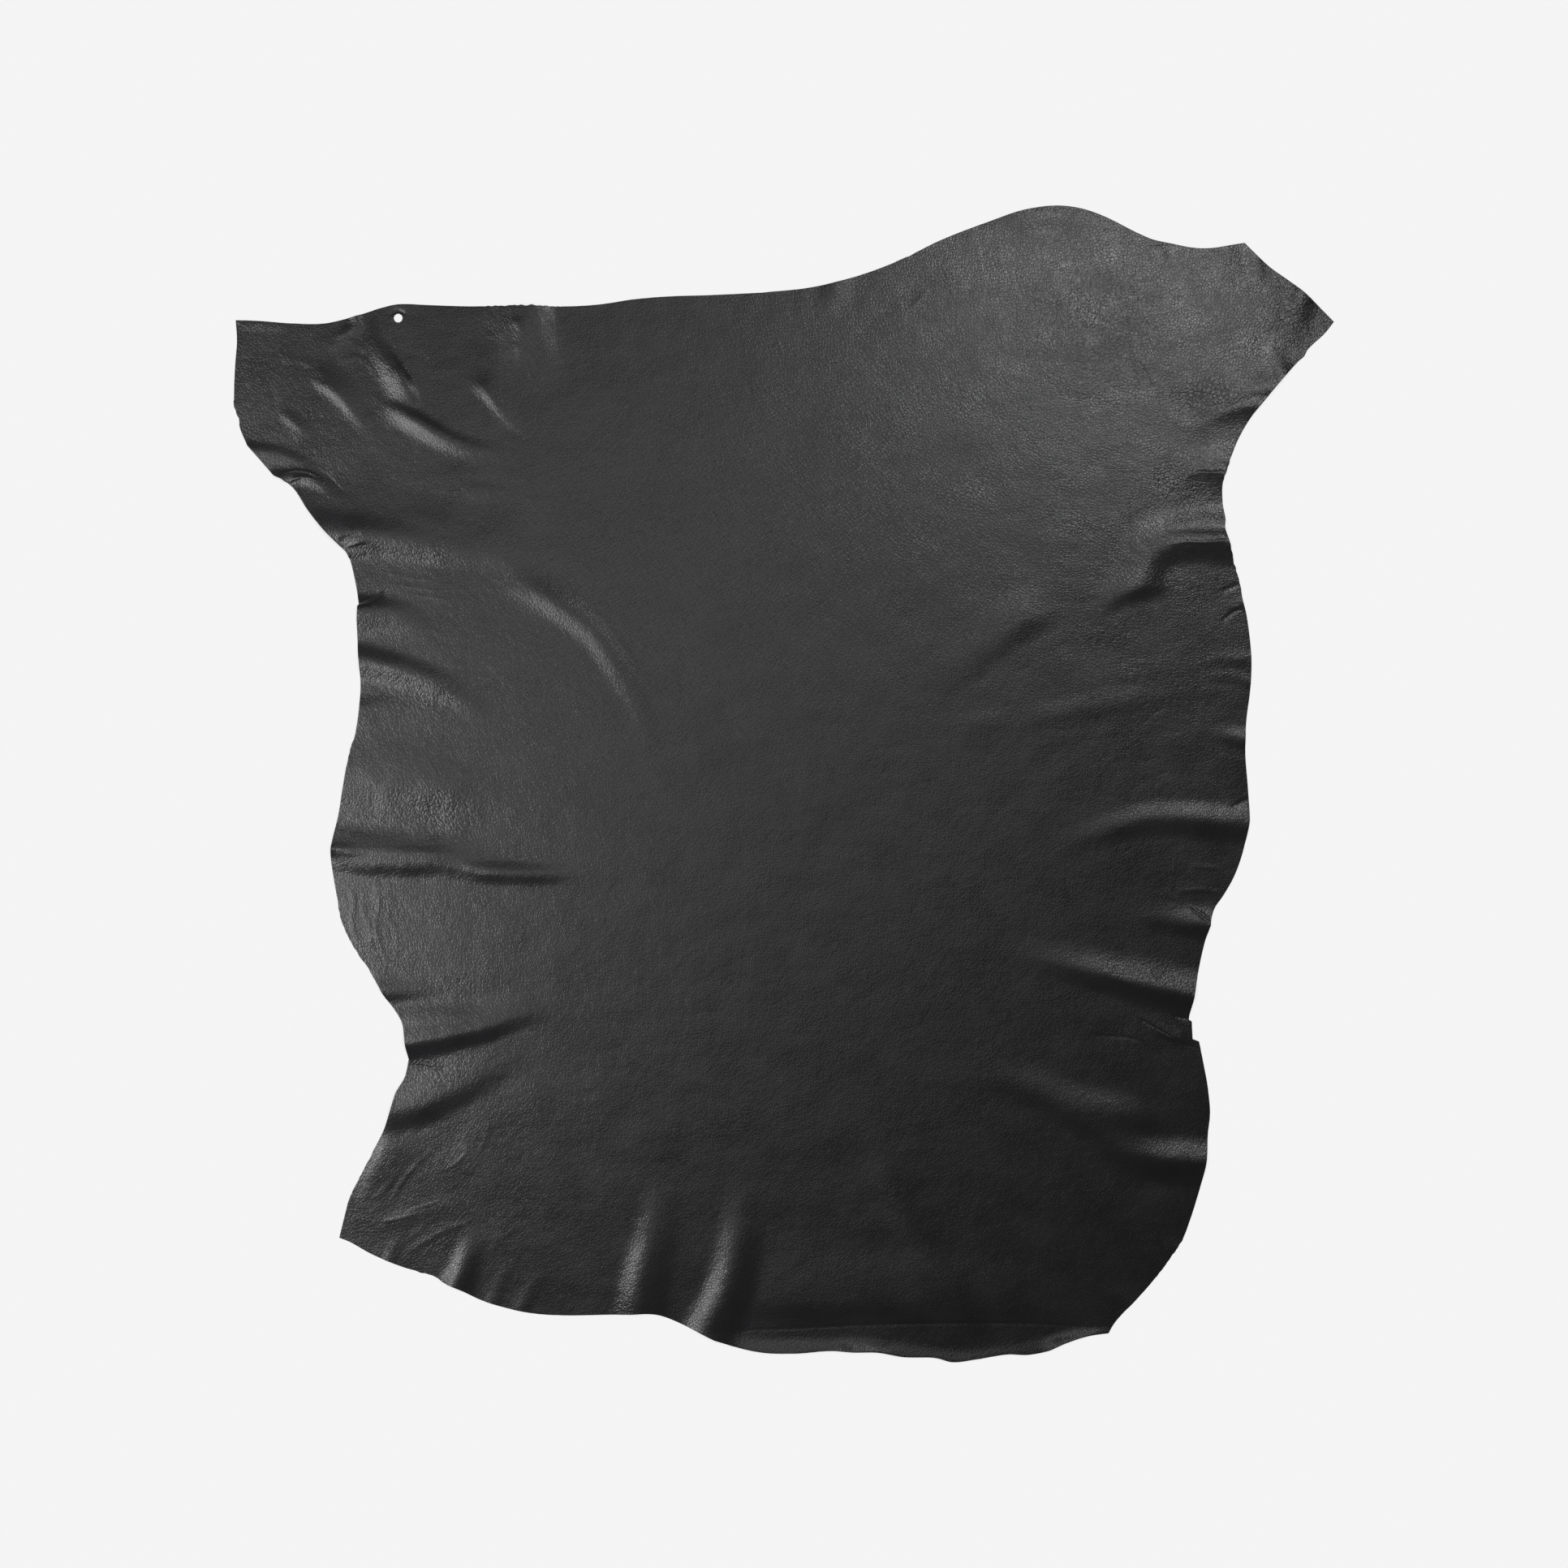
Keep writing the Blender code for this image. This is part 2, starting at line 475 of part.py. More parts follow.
def build_sheet(name, corners, triangles, material):
    """One closed sheet: the underside on the lifted plan, the grain side over it, and the cut edge."""
    underside = lift(corners)
    grain_side = underside + THICKNESS * steepness(corners)
    bm = bmesh.new()
    low = [bm.verts.new((x, y, z)) for (x, y), z in zip(corners, underside)]
    high = [bm.verts.new((x, y, z)) for (x, y), z in zip(corners, grain_side)]
    open_sides = {}
    for a, b, c in triangles.tolist():
        bm.faces.new((high[a], high[b], high[c]))
        bm.faces.new((low[c], low[b], low[a]))
        for first, second in ((a, b), (b, c), (c, a)):
            if (second, first) in open_sides:
                del open_sides[(second, first)]
            else:
                open_sides[(first, second)] = True
    for first, second in open_sides:
        bm.faces.new((low[first], low[second], high[second], high[first]))
    loose = [vert for vert in bm.verts if not vert.link_faces]
    bmesh.ops.delete(bm, geom=loose, context="VERTS")
    mesh = bpy.data.meshes.new(name)
    bm.to_mesh(mesh)
    bm.free()
    mesh.shade_smooth()
    mesh.set_sharp_from_angle(angle=SHARP_ANGLE)
    mesh.materials.append(material)
    sheet = bpy.data.objects.new(name, mesh)
    bpy.context.scene.collection.objects.link(sheet)
    return sheet


def leather_material():
    """Smooth black grain leather."""
    material = bpy.data.materials.new("black leather")
    material.use_nodes = True
    shader = material.node_tree.nodes["Principled BSDF"]
    shader.inputs["Base Color"].default_value = LEATHER_BLACK
    shader.inputs["Roughness"].default_value = LEATHER_ROUGHNESS
    shader.inputs["Metallic"].default_value = 0.0
    return material


def main():
    for old in list(bpy.data.objects):
        bpy.data.objects.remove(old)
    edge = edge_loop()
    hole = hole_loop()
    corners, triangles = triangulate(edge, hole, inner_points(edge, hole))
    build_sheet("hide", corners, triangles, leather_material())


main()
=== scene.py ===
"""The looks of a whole black leather hide, laid out flat, grain side up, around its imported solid.

The sheet repeats the solid's outline and folds with finer steps, and adds the fine creases, the cut
edge, the unevenness of the skin and its grain. Metres, +Z up, +Y from the belly edge to the neck edge.
"""
import math
from collections import namedtuple

import bpy
import numpy as np
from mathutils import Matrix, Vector, kdtree, noise
from mathutils.geometry import delaunay_2d_cdt


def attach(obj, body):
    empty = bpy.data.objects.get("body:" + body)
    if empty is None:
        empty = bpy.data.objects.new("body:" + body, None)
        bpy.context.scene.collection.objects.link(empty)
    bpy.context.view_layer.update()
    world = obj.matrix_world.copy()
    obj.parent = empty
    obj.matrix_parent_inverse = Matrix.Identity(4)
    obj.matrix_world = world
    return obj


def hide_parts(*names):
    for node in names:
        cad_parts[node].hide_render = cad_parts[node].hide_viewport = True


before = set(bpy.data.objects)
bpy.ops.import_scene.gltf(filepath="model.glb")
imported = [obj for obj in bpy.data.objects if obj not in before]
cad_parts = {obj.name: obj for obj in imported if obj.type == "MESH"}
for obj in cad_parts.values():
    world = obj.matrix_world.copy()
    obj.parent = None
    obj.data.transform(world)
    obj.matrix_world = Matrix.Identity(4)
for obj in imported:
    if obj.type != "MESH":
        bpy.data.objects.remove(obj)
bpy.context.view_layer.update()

# Sizes that the solid has too
HIDE_LENGTH = 0.996            # belly edge to neck edge, along Y
THICKNESS = 0.0014             # of the leather
MM = 0.001                     # one millimetre, the unit of the folds' rises
TAPER_START = 0.30             # share of a fold's length where its crest begins to sink
CREST_MARGIN = 0.040           # how far a fold that starts at the edge is carried on past it
NARROWING = 0.35               # share of its slopes' reach that a fold loses towards its inner end
SLOPE_STEP = 0.0005            # over which the steepness of a slope is measured
MERGE_DISTANCE = 1e-7          # points nearer than this are one point

# Spacing of the sheet's points
EDGE_STEP = 0.0018             # between the points along the hide's edge
CREST_STEP = 0.0085            # between the places along a fold's crest
GRAIN_SIDE_STEP = 0.0036       # between the points of the grain side
FLESH_SIDE_STEP = 0.0100       # between the points of the underside
CREASE_ROW_GAP = 0.0009        # between the rows of points along a fine crease
CREASE_POINT_GAP = 0.0024      # between the points along such a row

TRIANGLE_HEIGHT = math.sqrt(0.75)  # of a triangle with three sides of one
CREASE_SHARPNESS = 0.2         # of the fine creases, 0 round and 1 a crease
ZONE_REACH = 1.2               # how far coarse grain fades out, as a share of its zone's half widths

# The hide's three materials, in this order
GRAIN_SLOT, EDGE_SLOT, FLESH_SLOT = range(3)

# Waves of the skin. Columns: height in millimetres, waves to the metre across and along, seed.
Wave = namedtuple("Wave", "height scale_across scale_along seed")
WAVES = [Wave(*row) for row in (
    (0.34, 9, 15, 0.3),
    (0.28, 26, 38, 5.1),
    (0.17, 64, 76, 8.4),
    (0.09, 116, 124, 3.6),
)]
CALMEST = 0.75                 # how wavy the skin is where the grain is fine
LOOSEST = 1.7                  # and where it is coarse

# The cut edge, from the grain side down: how far in from the outline each ring of points lies, and
# how deep it lies as a share of the leather's thickness
EDGE_RINGS = ((0.00060, 0.00), (0.00022, 0.00), (0.00006, 0.06), (0.00000, 0.30), (0.00003, 0.80),
              (0.00025, 1.00))

# The grain and finish. Scales are waves or cells to the metre.
FINE_PEBBLES = 380
COARSE_PEBBLES = 250
PEBBLE_VALLEY = 0.22           # width of the valleys, as a share of a cell
PEBBLE_HEIGHT = 0.00018
DENT_SCALE = 170
FINE_WEIGHT = 0.75             # shares of the relief that the pebbles and dents have
COARSE_WEIGHT = 1.5
DENT_WEIGHT = 2.0
GRAIN_STRENGTH = 0.5
WARP_SCALE = 170               # of the noise that makes the pebbles irregular
WARP_SIZE = 0.0022             # and how far it shifts them
FINE_LAYERS = 2.0              # how much finer detail the dents and that noise have
HALF = (0.5, 0.5, 0.5)         # the middle of a noise's colours
CLOUD_SCALE = 26               # of the clouds in the finish
STREAK_STRETCH = (0.6, 2.0, 1.0)
EVEN_SHARE = 0.65              # of the finish that isn't streaked
CLOUD_RANGE = (0.28, 0.72)     # of the clouds' values, wide enough that they have no flat patches
CLOUD_LAYERS = 2.5             # how much finer detail the clouds have
GRAIN_ROUGHNESS = (0.220, 0.370)
DYE_SCALE = 34                 # of the patches that took more or less dye
DEEP_BLACK = (0.0140, 0.0140, 0.0152, 1.0)
PALE_BLACK = (0.0205, 0.0205, 0.0224, 1.0)
DYE_SHIFT = (7.3, 2.1, 0.4)    # keeps the dye's patches apart from the finish's

# The cut edge and the flesh side
EDGE_COLOUR = (0.012, 0.012, 0.013, 1.0)
EDGE_ROUGHNESS = 0.7
FIBRE_SCALE = 2500.0
FIBRE_LAYERS = 3.0
FIBRE_HEIGHT = 0.0002
FIBRE_STRENGTH = 0.6
FLESH_COLOURS = ((0.030, 0.030, 0.032, 1.0), (0.060, 0.060, 0.063, 1.0))
FLESH_ROUGHNESS = 0.95
NAP_SCALE = 900.0
NAP_LAYERS = 5.0
NAP_HEIGHT = 0.0004
NAP_STRENGTH = 0.7
FLESH_CLOUD_SCALE = 30.0
FLESH_CLOUD_LAYERS = 6.0

# How uneven the cut is: everywhere, and in rougher places. Columns: name, middle (across, down) and
# reach in drawing units, size in millimetres.
CUT_UNEVENNESS = 0.00008
RAGGED_SCALE = 260             # waves of the cut to the metre
RAGGED_SEED = 2.7
Ragged = namedtuple("Ragged", "name middle reach size")
RAGGED_PLACES = [Ragged(*row) for row in (
    ("neck, left of the middle", (642, 378), 50, 1.1),
    ("neck, at its left rise", (1118, 318), 14, 0.7),
    ("left fore shank, end", (293, 508), 14, 0.9),
    ("left armpit", (345, 590), 14, 0.8),
    ("left flank, top", (428, 684), 12, 1.0),
    ("left flank, middle", (434, 915), 30, 0.6),
    ("left belly", (436, 1160), 60, 0.6),
    ("left hind, end", (448, 1440), 34, 0.7),
    ("belly's left corner", (535, 1572), 20, 0.8),
    ("right flank, top", (1520, 700), 30, 1.0),
    ("right armpit", (1510, 580), 16, 0.8),
    ("right hind, low", (1435, 1555), 40, 0.5),
)]


# The edge, clockwise from the neck's left corner. Each row is one stretch between two corners: its
# name, and its places (across, down) in drawing units, counted from the top left of a plan of the hide.
EDGE_STRETCHES = (
    ("neck, left half", (
        (291, 395), (320, 396), (360, 399), (401, 399), (442, 389), (470, 380), (491, 375.5),
        (530, 376.5), (580, 378), (640, 377), (700, 378), (740, 375.5), (780, 369.5), (820, 366),
        (880, 364), (940, 361))),
    ("neck, right half", (
        (940, 361), (1000, 354.5), (1060, 339.5), (1110, 320.5), (1160, 296), (1220, 273),
        (1260, 259.5), (1300, 254), (1330, 257), (1360, 267), (1400, 287), (1420, 295.5),
        (1440, 300), (1472, 306), (1495, 306), (1517, 302.5), (1533, 300))),
    ("right fore shank, upper side", (
        (1533, 300), (1549, 316), (1566, 331), (1590, 348), (1611, 365), (1643, 397))),
    ("right fore shank, lower side", (
        (1643, 397), (1632, 411), (1611, 431), (1606, 440), (1600, 445), (1580, 467), (1560, 491),
        (1540, 516), (1525, 542), (1515.5, 565))),
    ("right flank, upper folds", (
        (1515.5, 565), (1510, 582), (1506, 596), (1506, 620), (1509, 640), (1508.5, 651),
        (1513, 664), (1517, 681), (1523, 704), (1526, 714.5))),
    ("right flank, middle", (
        (1526, 714.5), (1528.5, 724), (1530, 736), (1535, 756), (1540, 792), (1541.5, 818),
        (1540, 849), (1535, 890), (1534, 930), (1537, 969), (1539, 1008), (1537.5, 1021),
        (1529, 1056), (1520, 1080), (1507, 1103), (1496, 1119), (1491.5, 1133), (1491, 1140))),
    ("right flank, waist", (
        (1491, 1140), (1484, 1161), (1475.5, 1199), (1470, 1231), (1465, 1251), (1464.5, 1256))),
    ("tab, upper end", ((1464.5, 1256), (1468, 1258.5))),
    ("tab", ((1468, 1258.5), (1469, 1280))),
    ("tab, lower end", ((1469, 1280), (1477, 1283))),
    ("right hind", (
        (1477, 1283), (1482, 1308), (1487.5, 1338), (1490.5, 1372), (1488, 1395), (1485.5, 1430),
        (1480, 1456), (1466.5, 1501), (1456, 1528), (1442, 1549), (1428, 1568.5), (1401, 1599.5),
        (1380, 1621), (1372, 1631), (1365.5, 1642))),
    ("belly, right half", (
        (1365.5, 1642), (1340, 1645.5), (1311, 1654.5), (1290, 1664), (1265, 1668.5), (1241, 1668),
        (1206, 1673.5), (1174, 1677.4), (1152, 1672.3), (1113, 1671), (1081, 1665.5), (1052, 1665),
        (1022, 1663.6), (980, 1666.6), (940, 1665.6), (909, 1659.4), (880, 1650.3))),
    ("belly, left half", (
        (880, 1650.3), (845, 1633), (808, 1619), (769, 1619), (690, 1620), (652, 1617), (613, 1608),
        (590, 1600), (570, 1590), (550, 1581), (535, 1572), (495, 1560), (457, 1544), (432, 1530),
        (418.5, 1524.5))),
    ("left hind shank", (
        (418.5, 1524.5), (426, 1494), (431, 1476), (450, 1438), (464, 1411), (474.5, 1389),
        (484, 1358), (488.5, 1345), (499, 1327), (504, 1305))),
    ("left flank, lower", (
        (504, 1305), (500, 1288), (496, 1260), (486, 1243), (473, 1226), (458, 1199), (438, 1169),
        (422, 1137), (415.5, 1104), (409, 1064), (408.3, 1048), (411, 1031), (417.5, 1003),
        (423, 970), (430, 932), (439, 900), (444, 860), (444.5, 838), (441.5, 800), (440.3, 765),
        (441, 747))),
    ("cut in the left flank", ((441, 747), (443, 745))),
    ("left flank, upper", (
        (443, 745), (437, 711), (430, 686), (421, 675), (401, 655), (380, 629), (363, 603),
        (350, 592), (340, 587.5), (320, 566), (305, 549))),
    ("left fore shank", (
        (305, 549), (296, 527), (294.5, 516), (290, 505), (289, 481), (290.5, 448), (292.5, 420),
        (291, 395))),
)

# The small hole near the neck's left corner: its middle and its two half widths, in drawing units.
HOLE_MIDDLE = (491, 392.5)
HOLE_ACROSS = 5.5
HOLE_DOWN = 5.5
HOLE_SIDES = 10

# The folds' columns: name, rise of the crest in millimetres, reach of its slope to the left and to
# the right of the crest in drawing units, how sharp the crest is (0 round, 1 a crease), whether it
# starts at the hide's edge, and the crest's places (across, down), from the edge inwards.
Fold = namedtuple("Fold", "name rise reach_left reach_right sharpness at_edge places")
FOLD_ROWS = (
    ("left fore shank, outer crease", 1.7, 32, 13, 0.1, False,
     ((374, 461), (405, 477), (424, 494), (442, 517), (468, 547))),
    ("left fore shank, middle crease", 3.6, 36, 16, 0.2, False,
     ((512, 514), (504, 483), (489, 456), (470, 428), (452, 390))),
    ("left fore shank, inner crease", 3.4, 15, 25, 0.1, False,
     ((462, 497), (503, 512), (536, 532), (568, 547), (632, 562))),
    ("left fore shank, small crease", 1.0, 12, 10, 0.1, False,
     ((344, 506), (362, 520), (386, 546))),
    ("left shoulder wrinkle", 1.8, 26, 15, 0.2, False,
     ((574, 463), (598, 480), (614, 500), (630, 519), (668, 542))),
    ("left shoulder dimple", 0.5, 16, 18, 0.0, False,
     ((560, 604), (600, 606), (644, 607))),
    ("left neck wrinkle", 0.7, 16, 14, 0.0, False,
     ((634, 386), (644, 412), (640, 430), (652, 456))),
    ("left neck pucker", 2.6, 12, 12, 0.3, True,
     ((439, 390), (441, 402), (425, 412), (398, 422))),
    ("left armpit fold, upper", 1.5, 10, 40, 0.3, True,
     ((303, 553), (345, 558), (372, 569), (395, 588), (420, 618))),
    ("left armpit fold, lower", 2.4, 16, 12, 0.3, True,
     ((343, 590), (372, 589), (394, 597), (410, 612), (426, 634))),
    ("left shoulder roll", 2.4, 34, 40, 0.0, True,
     ((402, 654), (440, 658), (480, 663), (520, 672), (570, 690))),
    ("left shoulder roll, long back", 3.0, 80, 34, 0.0, True,
     ((402, 656), (480, 663), (560, 677), (620, 686), (664, 704), (710, 742))),
    ("left shoulder roll, lower lip", 1.8, 12, 12, 0.3, True,
     ((426, 684), (450, 681), (476, 683))),
    ("left rib fold", 3.0, 30, 30, 0.1, False,
     ((600, 700), (652, 724), (697, 750), (737, 784), (766, 830), (786, 870), (800, 905),
      (810, 940))),
    ("left rib fold, outer", 0.7, 30, 28, 0.0, False,
     ((720, 738), (790, 787), (850, 836), (905, 874))),
    ("left flank swell", 3.7, 26, 40, 0.0, True,
     ((439, 753), (480, 754), (510, 764), (538, 794))),
    ("left flank roll", 3.8, 25, 32, 0.2, True,
     ((440, 812), (470, 818), (510, 829), (550, 849), (585, 874), (612, 910))),
    ("left flank, low swell", 1.4, 22, 70, 0.1, True,
     ((443, 873), (480, 870), (520, 872))),
    ("left belly swell", 2.2, 75, 50, 0.0, True,
     ((420, 958), (480, 959), (540, 968), (600, 984), (660, 1010))),
    ("left belly roll", 3.0, 36, 18, 0.3, True,
     ((409, 1043), (450, 1046), (500, 1049), (560, 1051), (610, 1058), (655, 1068))),
    ("left belly roll, lip", 1.8, 6, 12, 0.5, True,
     ((407, 1045), (432, 1048), (462, 1059))),
    ("left belly crease", 3.1, 26, 24, 0.2, False,
     ((340, 1046), (415, 1056), (450, 1062), (500, 1063), (545, 1063), (600, 1074), (650, 1077),
      (700, 1077), (760, 1080))),
    ("left belly crease, inner part", 1.7, 20, 20, 0.1, False,
     ((560, 1068), (610, 1074), (650, 1076), (700, 1077), (740, 1080))),
    ("left thigh pucker", 2.4, 34, 18, 0.3, True,
     ((468, 1223), (500, 1222), (550, 1219))),
    ("left thigh fold, upper", 0.8, 26, 16, 0.1, True,
     ((494, 1252), (550, 1250), (600, 1246), (640, 1238))),
    ("left thigh fold, main", 5.2, 56, 26, 0.3, True,
     ((498, 1286), (550, 1277), (600, 1266), (640, 1252), (700, 1242))),
    ("left hind shank fold", 3.1, 60, 34, 0.1, True,
     ((481, 1370), (510, 1364), (545, 1350), (580, 1332), (620, 1310), (665, 1290))),
    ("left hind shank swell", 0.35, 45, 26, 0.0, False,
     ((606, 1352), (590, 1385), (572, 1415), (535, 1448), (490, 1466))),
    ("left hind shank crease", 0.35, 14, 20, 0.2, False,
     ((452, 1510), (515, 1496), (560, 1479), (600, 1462))),
    ("left hind shank, curled edge", 1.4, 64, 18, 0.0, False,
     ((496, 1372), (474, 1414), (458, 1452), (446, 1488), (436, 1522))),
    ("left hind shank pucker", 1.2, 14, 18, 0.2, True,
     ((478, 1555), (485, 1535), (498, 1508))),
    ("belly pucker, first", 4.2, 25, 36, 0.2, True,
     ((559, 1585), (570, 1559), (579, 1534), (592, 1506))),
    ("belly pucker, second", 0.8, 14, 16, 0.1, True,
     ((605, 1606), (618, 1576), (642, 1538))),
    ("belly pucker, third", 0.9, 18, 18, 0.1, True,
     ((641, 1616), (655, 1586), (674, 1556))),
    ("belly fold, left", 4.3, 36, 50, 0.1, True,
     ((785, 1620), (789, 1580), (799, 1540), (807, 1500), (818, 1440))),
    ("belly fold, right", 5.0, 38, 50, 0.1, True,
     ((868, 1644), (888, 1605), (902, 1560), (908, 1520), (914, 1480), (920, 1430))),
    ("belly roll", 2.4, 95, 42, 0.0, False,
     ((860, 1596), (960, 1600), (1040, 1603), (1120, 1604), (1200, 1606), (1290, 1604),
      (1365, 1600))),
    ("belly edge, upturned lip", 3.8, 30, 30, 0.0, False,
     ((730, 1670), (860, 1664), (940, 1672), (1000, 1672), (1060, 1672), (1110, 1676),
      (1176, 1684), (1240, 1676), (1300, 1666), (1372, 1655), (1460, 1655), (1560, 1655))),
    ("belly edge, lip at the middle", 3.0, 26, 24, 0.0, False,
     ((1024, 1672), (1068, 1674), (1112, 1678))),
    ("belly edge, lip at the right", 4.2, 22, 24, 0.0, False,
     ((1280, 1669), (1326, 1655), (1356, 1650), (1396, 1643))),
    ("belly swell", 1.9, 40, 36, 0.0, False,
     ((1215, 1670), (1180, 1600), (1136, 1545), (1105, 1490), (1080, 1420), (1060, 1360))),
    ("right hind pucker, upper", 1.2, 18, 18, 0.1, True,
     ((1450, 1538), (1434, 1530), (1412, 1524))),
    ("right hind pucker, lower", 1.0, 16, 16, 0.1, True,
     ((1394, 1606), (1380, 1594), (1362, 1584))),
    ("right thigh fold, lower", 6.0, 38, 38, 0.3, True,
     ((1488, 1432), (1440, 1428), (1402, 1420), (1368, 1404), (1330, 1378), (1285, 1348))),
    ("right thigh fold, upper", 3.6, 42, 40, 0.1, False,
     ((1450, 1392), (1390, 1379), (1342, 1367), (1300, 1351), (1250, 1332), (1180, 1306))),
    ("right waist fold", 5.9, 32, 44, 0.5, True,
     ((1471, 1228), (1430, 1219), (1395, 1210), (1360, 1201), (1320, 1191), (1280, 1180),
      (1230, 1165))),
    ("right waist cut, lapped edge", 1.8, 4, 24, 0.8, False,
     ((1472, 1291), (1440, 1276), (1420, 1266), (1400, 1252))),
    ("right flank pucker", 3.8, 24, 32, 0.2, True,
     ((1492, 1140), (1460, 1136), (1430, 1130), (1392, 1128))),
    ("right rib fold", 3.1, 30, 32, 0.2, True,
     ((1541, 1016), (1500, 1013), (1460, 1009), (1420, 1009), (1390, 1014), (1360, 1024),
      (1325, 1036), (1280, 1050))),
    ("right rib pucker", 2.6, 20, 20, 0.2, True,
     ((1537, 911), (1510, 906), (1476, 900))),
    ("right rib, long swell", 0.6, 27, 27, 0.0, False,
     ((1480, 851), (1400, 861), (1340, 872), (1280, 884), (1200, 893), (1120, 898))),
    ("right flank wrinkle, upper", 1.0, 12, 16, 0.2, True,
     ((1534, 742), (1518, 750), (1502, 763))),
    ("right flank wrinkle, middle", 0.6, 14, 16, 0.0, True,
     ((1541, 812), (1505, 812), (1462, 818))),
    ("right flank wrinkle, lower", 0.7, 10, 16, 0.1, True,
     ((1541, 842), (1515, 834), (1488, 834), (1462, 844))),
    ("right shoulder valley side", 1.2, 34, 60, 0.0, False,
     ((1312, 736), (1262, 764), (1222, 794), (1182, 826), (1130, 862))),
    ("right shoulder fold, lower", 1.9, 22, 38, 0.2, False,
     ((1448, 720), (1420, 721), (1400, 725), (1382, 732), (1364, 745), (1345, 772))),
    ("right shoulder roll", 3.6, 36, 60, 0.1, True,
     ((1514, 668), (1470, 667), (1440, 672), (1418, 686), (1403, 712), (1396, 745), (1391, 785))),
    ("right shoulder roll, upper crease", 1.4, 12, 36, 0.3, True,
     ((1509, 651), (1460, 651), (1430, 655), (1412, 670), (1402, 694))),
    ("right shoulder roll, lower crease", 0.8, 16, 8, 0.4, True,
     ((1514, 668), (1470, 669), (1440, 674), (1420, 688))),
    ("right armpit roll", 2.1, 32, 50, 0.1, True,
     ((1510, 583), (1480, 583), (1455, 590), (1428, 606))),
    ("right armpit roll, upper crease", 1.0, 11, 30, 0.3, True,
     ((1513, 568), (1490, 567), (1462, 575))),
    ("right armpit roll, lower crease", 0.9, 14, 8, 0.4, True,
     ((1508, 584), (1480, 584), (1455, 591), (1434, 607))),
    ("right fore shank roll", 1.9, 36, 52, 0.1, True,
     ((1560, 490), (1530, 497), (1498, 508), (1468, 521), (1436, 538))),
    ("right fore shank roll, upper crease", 1.3, 16, 40, 0.3, True,
     ((1569, 478), (1540, 482), (1512, 492), (1492, 505))),
    ("right fore shank roll, lower crease", 1.0, 16, 8, 0.4, True,
     ((1555, 498), (1525, 502), (1500, 511), (1470, 523))),
    ("right fore shank wrinkle, inner", 1.3, 44, 30, 0.0, True,
     ((1510, 303), (1506, 330), (1510, 362))),
    ("right fore shank wrinkle, middle", 1.4, 13, 24, 0.3, True,
     ((1549, 317), (1553, 340), (1546, 366))),
    ("right fore shank wrinkle, outer", 2.6, 32, 26, 0.1, True,
     ((1606, 361), (1598, 385), (1586, 424))),
    ("right fore shank wrinkle, low", 1.5, 18, 24, 0.1, True,
     ((1582, 465), (1568, 436), (1566, 400))),
    ("neck pucker, left", 4.0, 36, 90, 0.0, True,
     ((657, 377), (660, 404), (670, 440), (690, 486))),
    ("neck pucker, middle", 1.5, 28, 28, 0.1, True,
     ((1031, 347), (1022, 374), (1000, 402))),
    ("neck, upturned edge", 0.9, 30, 24, 0.0, False,
     ((1200, 278), (1260, 268), (1300, 266), (1345, 271), (1410, 294))),
)
FOLDS = [Fold(*row) for row in FOLD_ROWS]


